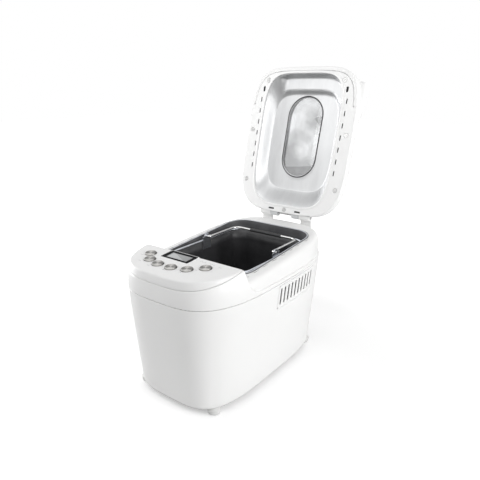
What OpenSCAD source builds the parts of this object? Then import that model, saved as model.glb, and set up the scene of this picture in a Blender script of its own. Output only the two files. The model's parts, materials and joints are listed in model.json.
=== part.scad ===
// Bread machine with an open lid, a front control panel and a lift-out pan.
// X is the width, -Y the front, +Z up. The origin is on the floor, under the
// middle of the machine's box with its lid open.

/* [Body] */
// Width of the body at its seam
body_w = 230; // [224:1:250]
// Depth of the body at its seam
body_d = 378; // [374:1:410]
// Height of the seam between the lower housing and the upper frame
seam_h = 193; // [190:1:205]
// Height of the feet under the housing
foot_h = 8; // [6:1:14]
// How much each side leans in towards the base
side_lean = 15; // [6:1:17]
// How much the front leans in towards the base
front_lean = 14; // [6:1:16]
// How much the back leans in towards the base
rear_lean = 16; // [6:1:18]
// Exponent of the rounded plan outline, higher is squarer
plan_power = 3.4; // [3:0.1:5]
// Thickness of the plastic walls
wall = 2.5; // [2:0.1:3.5]
// Radius of each foot
foot_r = 12; // [8:1:16]

/* [Deck] */
// Height of the deck above the seam where it meets the console
deck_rise = 27; // [25:1:33]
// Rise of the deck towards the back, in degrees
deck_slope = 3.9; // [2:0.1:5]
// Height of the ledge around the shoulder of the deck above the seam
ledge_rise = 7; // [4:0.5:12]
// Distance from the flat deck's edge to the side of the body
deck_in = 13; // [10:0.5:18]
// Distance of each row of deck slots from the side of the body
deck_slot_in = 22; // [20:0.5:23.5]
// Distance between deck slots
deck_slot_pitch = 26.3; // [18:0.1:28]

/* [Console] */
// Depth of the console from the front of the body
console_d = 87; // [80:1:92]
// Height of the console's rear edge above the deck
console_rise = 22; // [18:1:28]
// Slope of the panel down to the front, in degrees
panel_slope = 4.7; // [2:0.1:7]
// Slope of the seam under the panel cover, in degrees
cover_slope = 13.4; // [10:0.1:15]
// Lean of the console's rear wall between the panel and the deck
console_lean = 5; // [3:0.5:8]
// Radius of each button
button_r = 9.2; // [7:0.1:9.6]
// Height of each button above the panel
button_rise = 2; // [1:0.1:4]
// Travel of each button
button_travel = 0.8; // [0.4:0.1:1.2]
// Width of the display bezel
bezel_w = 57; // [48:1:62]
// Depth of the display bezel
bezel_d = 27; // [22:1:27]
// Width of the display glass
screen_w = 44; // [34:1:46]
// Depth of the display glass
screen_d = 18; // [12:1:20]
// Thickness of the circuit boards
board_t = 1.6; // [1:0.1:2.4]

/* [Vents] */
// Distance of the vent from the front of the body
vent_from_front = 170; // [150:1:180]
// Number of slots in each side vent
vent_count = 10; // [4:1:10]
// Distance between vent slots
vent_pitch = 11.6; // [8:0.1:12]
// Width of each vent slot
vent_slot_w = 3.6; // [2:0.1:5]
// Height of each vent slot
vent_slot_h = 30; // [20:1:34]
// Margin of the vent's frame around its slots
vent_margin = 6; // [4:0.5:8]

/* [Lid] */
// Opening angle of the lid, in degrees
lid_open = 107.3; // [95:0.1:108]
// Gap between the closed lid and the deck
lid_gap = 2; // [1.5:0.1:4]
// Distance from the hinge axis to the front edge of the lid
lid_front = 276; // [272:1:277]
// Depth of the lid's dome
lid_depth = 46; // [42:1:54]
// Thickness of the white frame inside the lid
frame_t = 2.2; // [1.6:0.1:2.4]
// Distance of each row of frame slots from the side of the lid
frame_slot_in = 23; // [19:0.5:25]
// Distance between frame slots
frame_slot_pitch = 21.3; // [16:0.1:22]
// Distance from the reflector's mouth to the side of the lid
reflector_in = 31; // [30:1:37]
// Depth of the reflector
reflector_depth = 26; // [16:1:28]
// Width of the window
window_w = 78; // [60:1:84]
// Length of the window
window_l = 157; // [120:1:158]
// Thickness of each window glass
glass_t = 3; // [2:0.5:4]
// Length of the finger grip at each front corner of the lid
grip_l = 62; // [40:1:70]
// How far the finger grips stand out
grip_out = 6; // [3:0.5:9]

/* [Hinge] */
// Distance of the hinge axis from the back of the body
hinge_in = 8.7; // [8:0.1:11]
// Height of the hinge axis above the lid's frame
hinge_rise = 10; // [9.8:0.1:12]
// Radius of the hinge pin
hinge_pin_r = 2.5; // [2:0.1:3.2]
// Radius of the hinge knuckles
knuckle_r = 7.2; // [5.5:0.1:7.4]
// Distance of each hinge tower's inner face from the centre
tower_x = 33; // [28:1:40]
// Width of each hinge tower
tower_w = 24; // [16:1:28]
// Running clearance around pins and shafts
run_gap = 0.05; // [0.02:0.01:0.08]

/* [Oven] */
// Distance from the oven chamber to each side of the body
oven_side = 27.5; // [26:0.5:28]
// Distance from the oven chamber to the back of the body
oven_rear = 51; // [49:1:53]
// Distance from the console to the oven chamber
oven_from_console = 12; // [11:1:16]
// Corner radius of the oven chamber
oven_r = 34; // [26:1:40]
// Thickness of the chamber's sheet metal
sheet_t = 1.2; // [0.8:0.1:1.6]
// Height of the chassis plate under the chamber
chassis_h = 40; // [38:1:44]
// Radius of the heating tube
element_r = 3.2; // [2.6:0.1:3.4]

/* [Pan] */
// Gap between the pan and the chamber at each side
pan_side_gap = 7; // [6.5:0.5:12]
// Gap between the pan and the chamber at each end
pan_end_gap = 9; // [7:0.5:14]
// Height of the pan's rim above the front of the deck
pan_rim_rise = 0.5; // [-15:0.5:1]
// Height of the pan's underside above the chassis
pan_lift = 20.4; // [20:0.2:26]
// Thickness of the pan's wall
pan_t = 1.6; // [1.2:0.1:2.4]
// Draft of the pan on each side
pan_draft = 7; // [4:0.5:9]
// Radius of the rolled rim
rim_r = 2; // [1.5:0.1:2.4]
// Radius of the bail's wire
bail_r = 2.2; // [1.6:0.1:2.4]
// Distance from the folded bail's crossbar to the end of the pan
bail_in = 21; // [17:1:45]
// Radius of the paddle's shaft
spindle_r = 4; // [3:0.1:5]
// Length of the kneading blade from the shaft
blade_l = 44; // [30:1:56]
// Height of the kneading blade
blade_h = 24; // [16:1:32]

/* [Drive] */
// Radius of the drive shaft
shaft_r = 5; // [4:0.1:6]
// Radius of the large pulley's belt face
big_pulley_r = 50; // [40:1:54]
// Radius of the motor pulley's belt face
small_pulley_r = 10; // [8:0.5:14]
// Width of the drive belt
belt_w = 8; // [5:0.5:9]
// Thickness of the drive belt
belt_t = 1.6; // [1:0.1:2.4]
// Radius of the motor's can
motor_r = 33; // [26:1:34]
// Height of the motor's can
motor_h = 62; // [45:1:75]
// Radius of the motor's shaft
motor_shaft_r = 3; // [2:0.1:4]

/* [Hidden] */

$fn = 48;
eps = 0.01;
fit = 0.2;
loose = 0.3;
seat = 0.2;
big = 500;
slab = 0.02;
plan_steps = 56;
dome_steps = 48;

base_x = body_w / 2 - side_lean;
base_front = body_d / 2 - front_lean;
base_back = body_d / 2 - rear_lean;
console_y = console_d - body_d / 2;
deck_h = seam_h + deck_rise;
console_h = deck_h + console_rise;
ledge_h = seam_h + ledge_rise;
ledge_in = 2.6;
console_foot_y = console_y + 22;
console_fillet_y = console_y + 12;

lid_lean = lid_open - 90 - deck_slope;
hinge_y = body_d / 2 - hinge_in;
hinge_z = deck_h + (hinge_y - console_y) * tan(deck_slope) + (lid_gap + hinge_rise) / cos(deck_slope);
lid_rear = 1.5;
lid_x = body_w / 2;
deck_slot_x = body_w / 2 - deck_slot_in;
frame_slot_x = lid_x - frame_slot_in;
reflector_x = lid_x - reflector_in;
oven_w = body_w - 2 * oven_side;
oven_l = body_d - console_d - oven_from_console - oven_rear;
pan_w = oven_w - 2 * pan_side_gap;
pan_l = oven_l - 2 * pan_end_gap;
pan_rim_h = deck_h + pan_rim_rise;
bail_l = pan_l / 2 - bail_in;
crown_in = 40;
crown_rear = hinge_y + (lid_front - crown_in) * sin(lid_lean) + (lid_depth - hinge_rise) * cos(lid_lean);
to_origin = (body_d / 2 - crown_rear) / 2;

// Outline of the body in plan, with a front and a back half of their own length
function half_power(v, n) = sign(v) * pow(abs(v), 2 / n);
function plan(x, front, back, n_front, n_back, steps) = [
    for (i = [0 : steps - 1])
        let (t = 360 * (i + 0.5) / steps, s = sin(t))
        let (n = s < 0 ? n_front : n_back, reach = s < 0 ? front : back)
        [x * half_power(cos(t), n), reach * half_power(s, n)]
];
function body_plan(inset) = plan(body_w / 2 - inset, body_d / 2 - inset, body_d / 2 - inset,
    plan_power, plan_power, plan_steps);
function base_plan(inset) = plan(base_x - inset, base_front - inset, base_back - inset,
    plan_power + 0.6, plan_power + 0.6, plan_steps);

module machine() {
    translate([0, to_origin, 0]) children();
}
// On the panel: X across, -Y down its slope from the rear edge, Z out of it
module on_panel() {
    machine() translate([0, console_y, console_h]) rotate([panel_slope, 0, 0]) children();
}
// On the lid: X across, -Y from the hinge to the front edge, Z from the frame's face into the dome
module on_lid() {
    machine() translate([0, hinge_y, hinge_z]) rotate([deck_slope - lid_open, 0, 0])
        translate([0, 0, -hinge_rise]) children();
}
module layer(points, z) {
    translate([0, 0, z]) linear_extrude(slab) polygon(points);
}
module rounded_rect(w, d, r) {
    square([w, d - 2 * r], center = true);
    square([w - 2 * r, d], center = true);
    for (x = [-1, 1], y = [-1, 1]) translate([x * (w / 2 - r), y * (d / 2 - r)]) circle(r);
}
module stadium(w, l) {
    square([w, l - w], center = true);
    for (y = [-1, 1]) translate([0, y * (l - w) / 2]) circle(w / 2);
}
module tube(r_out, r_in, z0, z1) {
    translate([0, 0, z0]) difference() {
        cylinder(r = r_out, h = z1 - z0);
        translate([0, 0, -1]) cylinder(r = r_in, h = z1 - z0 + 2);
    }
}
module rod(r, z0, z1) {
    translate([0, 0, z0]) cylinder(r = r, h = z1 - z0);
}
module rod_x(r, x0, x1) {
    translate([x0, 0, 0]) rotate([0, 90, 0]) cylinder(r = r, h = x1 - x0);
}
// A solid with a side profile given as [y, z] points, extruded across the whole width
module side_profile(points, half_width = big) {
    translate([-half_width, 0, 0]) rotate([90, 0, 90]) linear_extrude(2 * half_width) polygon(points);
}

// ---- Lower housing ----
boss_r = 6;
screw_r = 1.6;
screw_head_r = 3.4;
screw_head_h = 1.8;
base_t = 3;
boss_h = 30;
boss_x = base_x - 24;
boss_front = base_front - 52;
boss_back = base_back - 52;
boss_spots = [[boss_x, -boss_front], [-boss_x, -boss_front], [boss_x, boss_back], [-boss_x, boss_back]];
vent_l = (vent_count - 1) * vent_pitch + vent_slot_w + 2 * vent_margin;
vent_y0 = vent_from_front - body_d / 2;
vent_top = seam_h - 4;
vent_h = vent_slot_h + 2 * vent_margin;
inlet_w = 28;
inlet_h = 20;
inlet_z = chassis_h - inlet_h / 2 - 2;
inlet_flange = 4;
rear_angle = atan(rear_lean / (seam_h - foot_h));
inlet_y = base_back + (inlet_z - foot_h) * tan(rear_angle);

module housing_form(inset) {
    hull() {
        layer(base_plan(inset), foot_h);
        layer(body_plan(inset), seam_h - slab);
    }
}
module housing_wall() {
    difference() {
        housing_form(0);
        translate([0, 0, -1]) intersection() {
            hull() {
                layer(base_plan(wall), foot_h - 1);
                layer(body_plan(wall), seam_h + 2);
            }
            translate([-big, -big, 0]) cube([2 * big, 2 * big, seam_h + 20]);
        }
    }
}
module vent_block(side, gap) {
    translate([side > 0 ? body_w / 2 - side_lean - 12 : -body_w / 2 - 5, vent_y0 - gap, vent_top - vent_h - gap])
        cube([side_lean + 17, vent_l + 2 * gap, vent_h + 2 * gap]);
}
module at_inlet() {
    translate([0, inlet_y, inlet_z]) rotate([90 + rear_angle, 0, 180]) children();
}
module lower_housing() {
    color("white") machine() {
        difference() {
            housing_wall();
            for (side = [-1, 1]) vent_block(side, fit);
            at_inlet() cube([inlet_w + 2 * fit, inlet_h + 2 * fit, 30], center = true);
        }
        for (p = boss_spots) translate([p[0], p[1], foot_h + base_t + fit]) {
            tube(boss_r, screw_r + run_gap, 0, boss_h);
            rib_x = p[0] > 0 ? boss_r - 1 : -30;
            intersection() {
                translate([rib_x, -1, 0]) cube([31 - boss_r, 2, boss_h]);
                translate([-p[0], -p[1], -foot_h - base_t - fit]) housing_form(wall / 2);
            }
        }
    }
}
module vent_grille(side) {
    color("whitesmoke") machine() difference() {
        intersection() {
            housing_wall();
            vent_block(side, 0);
        }
        for (i = [0 : vent_count - 1])
            translate([side * body_w / 2, vent_y0 + vent_margin + vent_slot_w / 2 + i * vent_pitch,
                vent_top - vent_h / 2]) cube([60, vent_slot_w, vent_slot_h], center = true);
    }
}
module vent_grille_right() { vent_grille(1); }
module vent_grille_left() { vent_grille(-1); }

module base_plate() {
    post_h = chassis_h - foot_h - base_t;
    color("lightgray") machine() {
        difference() {
            translate([0, 0, foot_h]) linear_extrude(base_t) polygon(base_plan(wall + loose));
            for (p = boss_spots) translate([p[0], p[1], foot_h - 1]) {
                cylinder(r = screw_r + fit, h = base_t + 2);
                cylinder(r = screw_head_r + fit, h = base_t);
            }
            for (x = [-40, 40], i = [0 : 6]) translate([x, 50 + 12 * i, foot_h + base_t / 2])
                cube([40, 4, base_t + 2], center = true);
        }
        for (p = chassis_posts) translate([p[0], p[1], foot_h + base_t])
            cylinder(r = 5, h = post_h);
    }
}
foot_front = base_front - 28;
foot_back = base_back - 28;
foot_x = base_x - 23;
module feet() {
    color("whitesmoke") machine() for (x = [-1, 1], y = [-foot_front, foot_back])
        translate([x * foot_x, y, 0]) cylinder(r1 = foot_r - 1.5, r2 = foot_r, h = foot_h);
}
module housing_screws() {
    color("silver") machine() for (p = boss_spots) translate([p[0], p[1], foot_h]) {
        translate([0, 0, base_t - 1 - screw_head_h]) cylinder(r = screw_head_r, h = screw_head_h);
        rod(screw_r, base_t - 1 - eps, base_t + 14);
    }
}

// ---- Upper frame: band, console box, deck and hinge towers ----
module upper_form(inset) {
    hull() {
        layer(body_plan(inset), seam_h - 1);
        layer(body_plan(inset + 2.2), seam_h + 30);
        layer(body_plan(inset + 5), seam_h + 42);
        layer(body_plan(inset + 10), console_h + 4);
    }
}
// The console's rear wall, moved forward by gap, down to its fillet on the ledge
module console_side(gap, top) {
    side_profile([[-big, 0], [-big, top], [console_y - gap - (top - console_h) * 0.2, top],
        [console_y - gap, console_h],
        [console_y - gap + console_lean, deck_h - 4], [console_fillet_y - gap, ledge_h + 5],
        [console_foot_y - 3 - gap, ledge_h + 1.5], [console_foot_y - gap + 4, ledge_h],
        [console_foot_y - gap + 4, 0]]);
}
cover_h = console_h - 1 - console_d * tan(cover_slope);
module below_cover(drop) {
    side_profile([[-big, 0], [-big, cover_h - drop - (big - body_d / 2) * tan(cover_slope)],
        [console_y + 60, cover_h - drop + (console_d + 60) * tan(cover_slope)], [console_y + 60, 0]]);
}
module below_panel(drop) {
    side_profile([[-big, 0], [-big, console_h - drop - (big + console_y) * tan(panel_slope)],
        [console_y + 60, console_h - drop + 60 * tan(panel_slope)], [console_y + 60, 0]]);
}
module tilted_layer(points, z) {
    translate([0, console_y, deck_h]) rotate([deck_slope, 0, 0]) translate([0, -console_y, z])
        linear_extrude(slab) polygon(points);
}
module deck_form(inset) {
    hull() {
        layer(body_plan(ledge_in + inset), ledge_h - inset - 5);
        tilted_layer(body_plan(5 + inset), -10 - inset);
        tilted_layer(body_plan(8.5 + inset), -4 - inset);
        tilted_layer(body_plan(deck_in + inset), -slab - inset);
    }
}
oven_y = console_y + oven_from_console + oven_l / 2;
module oven_prism(grow, z0, z1) {
    translate([0, oven_y, z0]) linear_extrude(z1 - z0)
        rounded_rect(oven_w + 2 * grow, oven_l + 2 * grow, oven_r + grow);
}
deck_slot_w = 1.8;
deck_slot_l = 12;
deck_slot_first = 19;
deck_slot_count = floor((body_d - console_d - deck_slot_first - 60) / deck_slot_pitch);
tower_y = lid_rear + 0.8;
module hinge_tower(side) {
    x0 = side > 0 ? tower_x : -tower_x - tower_w;
    translate([0, hinge_y, hinge_z]) {
        rod_x(knuckle_r, x0, x0 + tower_w);
        translate([x0, tower_y, -34]) cube([tower_w, knuckle_r - tower_y, 34]);
    }
}
module upper_frame() {
    color("white") machine() difference() {
        union() {
            intersection() {
                upper_form(0);
                union() {
                    translate([-big, -big, 0]) cube([2 * big, 2 * big, ledge_h]);
                    intersection() {
                        console_side(0, console_h + 20);
                        below_cover(0);
                    }
                }
            }
            deck_form(0);
            for (side = [-1, 1]) hinge_tower(side);
        }
        intersection() {
            upper_form(wall);
            union() {
                translate([-big, -big, 0]) cube([2 * big, 2 * big, ledge_h - wall]);
                console_side(wall, console_h + 20);
            }
        }
        deck_form(wall);
        translate([-big, -big, 0]) cube([2 * big, 2 * big, seam_h + loose]);
        oven_prism(sheet_t + fit, 0, console_h + 30);
        translate([0, hinge_y, hinge_z]) rod_x(hinge_pin_r + run_gap, -tower_x - tower_w - 1, tower_x + tower_w + 1);
        for (x = [-1, 1], i = [0 : deck_slot_count - 1]) translate([0, console_y, deck_h])
            rotate([deck_slope, 0, 0]) translate([x * deck_slot_x, deck_slot_first + i * deck_slot_pitch, 0])
            cube([deck_slot_w, deck_slot_l, 8], center = true);
    }
}

// ---- Panel cover, display and buttons ----
// Buttons from left to right: distance across and distance down the panel
button_spots = [[-65.5, 28.2], [-49.7, 45.3], [-25.6, 51.7], [1.5, 50.8], [28.2, 43.7], [49.9, 25.7]];
display_x = -14;
display_s = 1.5 + bezel_d / 2;
bezel_t = 1.2;
bezel_proud = 0.6;
board_drop = 15;
board_w = 158;
board_d = 58;
board_s = 4 + board_d / 2;
board_post_x = board_w / 2 - 6;
board_post_d = board_d / 2 - 6;
stem_r = 3;
switch_h = 4.5;
switch_w = 6;
function board_posts() = [for (x = [-1, 1], y = [-1, 1]) [x * board_post_x, -board_s + y * board_post_d]];

module panel_cover() {
    color("white") {
        difference() {
            machine() intersection() {
                upper_form(0);
                difference() {
                    below_panel(0);
                    below_cover(-0.5);
                }
                console_side(0, console_h + 20);
            }
            machine() intersection() {
                upper_form(wall);
                below_panel(wall);
                console_side(wall, console_h + 20);
            }
            on_panel() {
                for (p = button_spots) translate([p[0], -p[1], -wall - 4])
                    cylinder(r = button_r + loose, h = wall + 8);
                translate([display_x, -display_s, -wall - 4]) linear_extrude(wall + 8)
                    square([bezel_w - 6, bezel_d - 6], center = true);
                translate([display_x, -display_s, bezel_proud - bezel_t]) linear_extrude(bezel_t + 2)
                    square([bezel_w + 2 * fit, bezel_d + 2 * fit], center = true);
            }
        }
        on_panel() for (p = board_posts()) translate([p[0], p[1], 0])
            tube(3.6, 1.1 + run_gap, -board_drop + board_t, -wall + eps);
    }
}
module lcd_bezel() {
    color("black") on_panel() translate([display_x, -display_s, bezel_proud - bezel_t]) linear_extrude(bezel_t)
        difference() {
            square([bezel_w, bezel_d], center = true);
            square([screen_w, screen_d], center = true);
        }
}
module lcd_glass() {
    color("gray") on_panel() translate([display_x, -display_s, 0]) {
        translate([0, 0, bezel_proud - bezel_t - fit - 2]) linear_extrude(2)
            square([bezel_w - 7, bezel_d - 7], center = true);
        translate([0, 0, bezel_proud - bezel_t - fit - eps]) linear_extrude(bezel_t)
            square([screen_w - 2 * fit, screen_d - 2 * fit], center = true);
        translate([0, 0, -board_drop + board_t]) linear_extrude(board_drop - board_t - 2 + bezel_proud - bezel_t - fit + eps)
            square([bezel_w - 12, bezel_d - 12], center = true);
    }
}
module control_board() {
    color("darkgreen") on_panel() {
        translate([0, 0, -board_drop]) linear_extrude(board_t) difference() {
            translate([0, -board_s]) square([board_w, board_d], center = true);
            for (p = board_posts()) translate(p) circle(1.1 + fit);
        }
        for (p = button_spots) translate([p[0], -p[1], -board_drop + board_t + switch_h / 2 - eps])
            cube([switch_w, switch_w, switch_h], center = true);
    }
}
module board_screws() {
    color("silver") on_panel() for (p = board_posts()) translate([p[0], p[1], -board_drop]) {
        rod(2.2, -1.4, 0);
        rod(1.1, -eps, 8);
    }
}
module button(i) {
    cap_in = wall + 1;
    stem_end = -board_drop + board_t + switch_h + button_travel + loose;
    color("silver") on_panel() translate([button_spots[i][0], -button_spots[i][1], 0]) {
        rotate_extrude() polygon([[0, -cap_in], [button_r, -cap_in], [button_r, button_rise - 0.8],
            [button_r - 0.8, button_rise], [0, button_rise - 0.4]]);
        rod(stem_r, stem_end, -cap_in + eps);
    }
}
module button_1() { button(0); }
module button_2() { button(1); }
module button_3() { button(2); }
module button_4() { button(3); }
module button_5() { button(4); }
module button_6() { button(5); }

// ---- Mains inlet ----
module mains_inlet() {
    color("dimgray") machine() at_inlet() difference() {
        union() {
            translate([0, 0, -8]) cube([inlet_w, inlet_h, 20], center = true);
            translate([0, 0, 1]) cube([inlet_w + 2 * inlet_flange, inlet_h + 2 * inlet_flange, 1.6], center = true);
        }
        translate([0, 0, -15]) linear_extrude(20) square([inlet_w - 4, inlet_h - 4], center = true);
    }
    color("silver") machine() at_inlet() for (x = [-7, 0, 7])
        translate([x, -3, -9]) cube([4, 2, 14], center = true);
}

// ---- Chassis, chamber and heater ----
motor_y = console_y + oven_from_console - motor_r - 15;
chassis_w = 122;
chassis_front = motor_y - 26;
chassis_back = oven_y + 90;
chassis_posts = [for (x = [-1, 1], y = [motor_y - 16, oven_y - 70, oven_y + 76]) [x * (chassis_w / 2 - 9), y]];
liner_z = chassis_h + sheet_t;
bush_r = 9;
module chassis() {
    color("silver") machine() translate([0, 0, chassis_h]) linear_extrude(sheet_t) difference() {
        translate([-chassis_w / 2, chassis_front]) square([chassis_w, chassis_back - chassis_front]);
        translate([0, oven_y]) circle(bush_r + run_gap);
        translate([0, motor_y]) circle(motor_shaft_r + 4);
    }
}
lip_w = 3;
probe_x = 40;
probe_z = 140;
probe_r = 3;
element_gap = 12;
element_z = liner_z + sheet_t + 15;
element_x = oven_w / 2 - element_r - 4.5;
element_y = oven_l / 2 - element_r - 4.5;
element_bend = oven_r - element_r - 4.5;
module oven_liner() {
    color("gray") machine() difference() {
        union() {
            intersection() {
                oven_prism(sheet_t, liner_z, console_h + 30);
                translate([0, console_y, deck_h]) rotate([deck_slope, 0, 0])
                    translate([-big, -big, -big]) cube([2 * big, 2 * big, big + 0.5]);
            }
            translate([0, console_y, deck_h]) rotate([deck_slope, 0, 0]) translate([0, oven_y - console_y, seat])
                linear_extrude(0.8) rounded_rect(oven_w + 2 * lip_w, oven_l + 2 * lip_w, oven_r + lip_w);
        }
        oven_prism(0, liner_z + sheet_t, console_h + 40);
        translate([0, oven_y, 0]) rod(bush_r + run_gap, 0, liner_z + 5);
        for (x = [-element_gap, element_gap]) translate([x, oven_y, element_z]) rotate([90, 0, 0])
            cylinder(r = element_r + fit, h = oven_l);
        translate([probe_x, oven_y, probe_z]) rotate([90, 0, 0]) cylinder(r = probe_r + fit, h = oven_l);
    }
}
module element_corner(x, y) {
    translate([x * (element_x - element_bend), y * (element_y - element_bend), 0])
        rotate([0, 0, x > 0 ? (y > 0 ? 0 : 270) : (y > 0 ? 90 : 180)])
        rotate_extrude(angle = 90) translate([element_bend, 0]) circle(element_r);
}
module heating_element() {
    turn = 8;
    run = element_x - element_bend;
    color("dimgray") machine() translate([0, oven_y, element_z]) {
        for (x = [-1, 1], y = [-1, 1]) element_corner(x, y);
        for (x = [-1, 1]) {
            translate([x * element_x, element_y - element_bend, 0]) rotate([90, 0, 0])
                cylinder(r = element_r, h = 2 * (element_y - element_bend));
            x0 = x > 0 ? element_gap + turn : -run;
            translate([x0, -element_y, 0]) rod_x(element_r, 0, run - element_gap - turn);
            translate([x * (element_gap + turn), -element_y - turn, 0]) rotate([0, 0, x > 0 ? 90 : 0])
                rotate_extrude(angle = 90) translate([turn, 0]) circle(element_r);
            translate([x * element_gap, -element_y - turn, 0]) rotate([90, 0, 0])
                cylinder(r = element_r, h = 14);
        }
        translate([0, element_y, 0]) rod_x(element_r, -run, run);
    }
}
module element_supports() {
    foot_z = liner_z + sheet_t;
    color("silver") machine() translate([0, oven_y, foot_z])
        for (x = [-1, 1], y = [-0.5, 0.5]) translate([x * element_x - 4, y * oven_l / 2 - 3, 0])
            cube([8, 6, element_z - element_r - seat - foot_z]);
}
module thermostat_probe() {
    color("silver") machine() translate([probe_x, oven_y - oven_l / 2, probe_z]) rotate([90, 0, 0]) {
        rod(probe_r, -7, sheet_t + 10);
        rod(7, sheet_t + seat, sheet_t + 3);
    }
}

// ---- Pan socket and drive ----
ring_r = 34;
ring_t = 2;
socket_t = 2;
pan_z = liner_z + pan_lift;
dog_r = 15;
dog_t = 3;
prong_in = 8;
prong_w = 6;
prong_h = 6;
drive_dog_z = liner_z + sheet_t + 4;
pulley_z = foot_h + base_t + 6;
pulley_t = belt_w + 4;
module pan_socket() {
    floor_z = liner_z + sheet_t;
    color("silver") machine() translate([0, oven_y, 0]) {
        tube(ring_r + loose + socket_t, ring_r + loose, floor_z, floor_z + 10);
        for (x = [-1, 1]) translate([x * (ring_r + loose + socket_t + 8), 0, floor_z + 0.6])
            cube([18, 16, 1.2], center = true);
    }
}
module shaft_bush() {
    color("goldenrod") machine() translate([0, oven_y, 0]) {
        tube(bush_r, shaft_r + run_gap, chassis_h - 8, liner_z + sheet_t + 2);
        tube(bush_r + 4, shaft_r + run_gap, chassis_h - 4, chassis_h - seat);
    }
}
module drive_shaft() {
    color("silver") machine() translate([0, oven_y, 0]) rod(shaft_r, pulley_z - 3, drive_dog_z + dog_t);
}
module prongs(y0, z0) {
    for (a = [0, 180]) rotate([0, 0, a]) translate([prong_in, y0, z0])
        cube([dog_r - prong_in - 1.5, prong_w, prong_h]);
}
module drive_dog() {
    color("silver") machine() translate([0, oven_y, 0]) {
        tube(dog_r, shaft_r + run_gap, drive_dog_z, drive_dog_z + dog_t);
        prongs(-prong_w / 2, drive_dog_z + dog_t - eps);
    }
}
// A pulley with two flanges, a web and a hub
module pulley(r, bore_r, hub_r) {
    half = pulley_t / 2;
    flange = 1.4;
    rotate_extrude() polygon([[bore_r, -half], [hub_r, -half], [hub_r, -2], [r - 5, -2], [r - 5, -half],
        [r + flange, -half], [r + flange, -half + 1.2], [r, -half + 2], [r, half - 2], [r + flange, half - 1.2],
        [r + flange, half], [r - 5, half], [r - 5, 2], [hub_r, 2], [hub_r, half], [bore_r, half]]);
}
module drive_pulley() {
    color("white") machine() translate([0, oven_y, pulley_z + pulley_t / 2]) difference() {
        pulley(big_pulley_r, shaft_r + run_gap, shaft_r + 7);
        for (a = [0 : 60 : 300]) rotate([0, 0, a]) translate([(big_pulley_r + shaft_r) / 2, 0, -10])
            cylinder(r = 9, h = 20);
    }
}
module motor_pulley() {
    r = small_pulley_r;
    half = pulley_t / 2;
    color("silver") machine() translate([0, motor_y, pulley_z + half]) rotate_extrude() polygon([
        [motor_shaft_r + run_gap, -half], [r + 1.4, -half], [r + 1.4, -half + 1.2], [r, -half + 2],
        [r, half - 2], [r + 1.4, half - 1.2], [r + 1.4, half], [motor_shaft_r + run_gap, half]]);
}
module belt_loop(grow) {
    hull() {
        translate([0, oven_y]) circle(big_pulley_r + grow, $fn = 96);
        translate([0, motor_y]) circle(small_pulley_r + grow, $fn = 96);
    }
}
module drive_belt() {
    belt_gap = 0.4;
    color("black") machine() translate([0, 0, pulley_z + pulley_t / 2 - belt_w / 2 + 0.5]) linear_extrude(belt_w - 1)
        difference() {
            belt_loop(belt_gap + belt_t);
            belt_loop(belt_gap);
        }
}
motor_z = chassis_h + sheet_t;
module motor() {
    color("silver") machine() translate([0, motor_y, motor_z]) difference() {
        union() {
            rod(motor_r, 5, motor_h);
            translate([0, 0, motor_h * 0.45]) linear_extrude(motor_h * 0.3)
                square([2 * motor_r - 6, 2 * motor_r - 6], center = true);
            for (a = [45 : 90 : 315]) rotate([0, 0, a]) translate([motor_r - 6, 0, 0]) cylinder(r = 4, h = 6);
        }
        rod(motor_shaft_r + run_gap, -1, motor_h + 1);
    }
}
module motor_rotor() {
    color("gray") machine() translate([0, motor_y, 0]) rod(motor_shaft_r, pulley_z - 2, motor_z + motor_h + 13);
}
module motor_fan() {
    fan_z = motor_z + motor_h + 2;
    color("white") machine() translate([0, motor_y, fan_z]) {
        tube(8, motor_shaft_r + run_gap, 0, 9);
        for (a = [0 : 45 : 315]) rotate([0, 0, a]) translate([7.5, -1, 0]) rotate([18, 0, 0]) cube([motor_r - 14, 1.6, 8]);
    }
}
module power_board() {
    board_x = -motor_r - 16;
    color("sienna") machine() translate([board_x, motor_y - 22, motor_z]) {
        cube([board_t, 56, 72]);
        for (i = [0 : 2]) translate([-14 + eps, 5 + 17 * i, 12]) cube([14, 12, 16 + 6 * i]);
        translate([-8 + eps, 8, 52]) cube([8, 40, 10]);
    }
}

// ---- Bread pan ----
pan_h = pan_rim_h - pan_z;
pan_corner = 28;
module pan_layer(inset, z) {
    translate([0, oven_y, z]) linear_extrude(slab)
        rounded_rect(pan_w - 2 * inset, pan_l - 2 * inset, pan_corner - inset);
}
module pan_form(inset, z0, z1) {
    hull() {
        pan_layer(inset + pan_draft, z0);
        pan_layer(inset, z1 - slab);
    }
}
pan_bush_r = 8;
module bread_pan() {
    color("dimgray") machine() difference() {
        pan_form(0, pan_z, pan_rim_h);
        pan_form(pan_t, pan_z + 2, pan_rim_h + eps);
        translate([0, oven_y, 0]) rod(pan_bush_r + run_gap, pan_z - 1, pan_z + 5);
    }
}
module pan_rim() {
    out = rim_r;
    color("silver") machine() translate([0, oven_y, pan_rim_h + seat]) {
        linear_extrude(rim_r) difference() {
            rounded_rect(pan_w + 2 * out, pan_l + 2 * out, pan_corner + out);
            rounded_rect(pan_w - 2 * pan_t, pan_l - 2 * pan_t, pan_corner - pan_t);
        }
        translate([0, 0, -rim_r]) linear_extrude(rim_r + eps) difference() {
            rounded_rect(pan_w + 2 * out, pan_l + 2 * out, pan_corner + out);
            rounded_rect(pan_w + 2 * fit, pan_l + 2 * fit, pan_corner + fit);
        }
    }
}
ear_t = 1.4;
ear_drop = 16;
ear_w = 22;
ear_in = pan_w / 2 - pan_t - pan_draft * ear_drop / pan_h - seat;
bail_z = pan_rim_h + rim_r + seat + bail_r + 3.6;
bail_x = ear_in - ear_t - 2;
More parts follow.
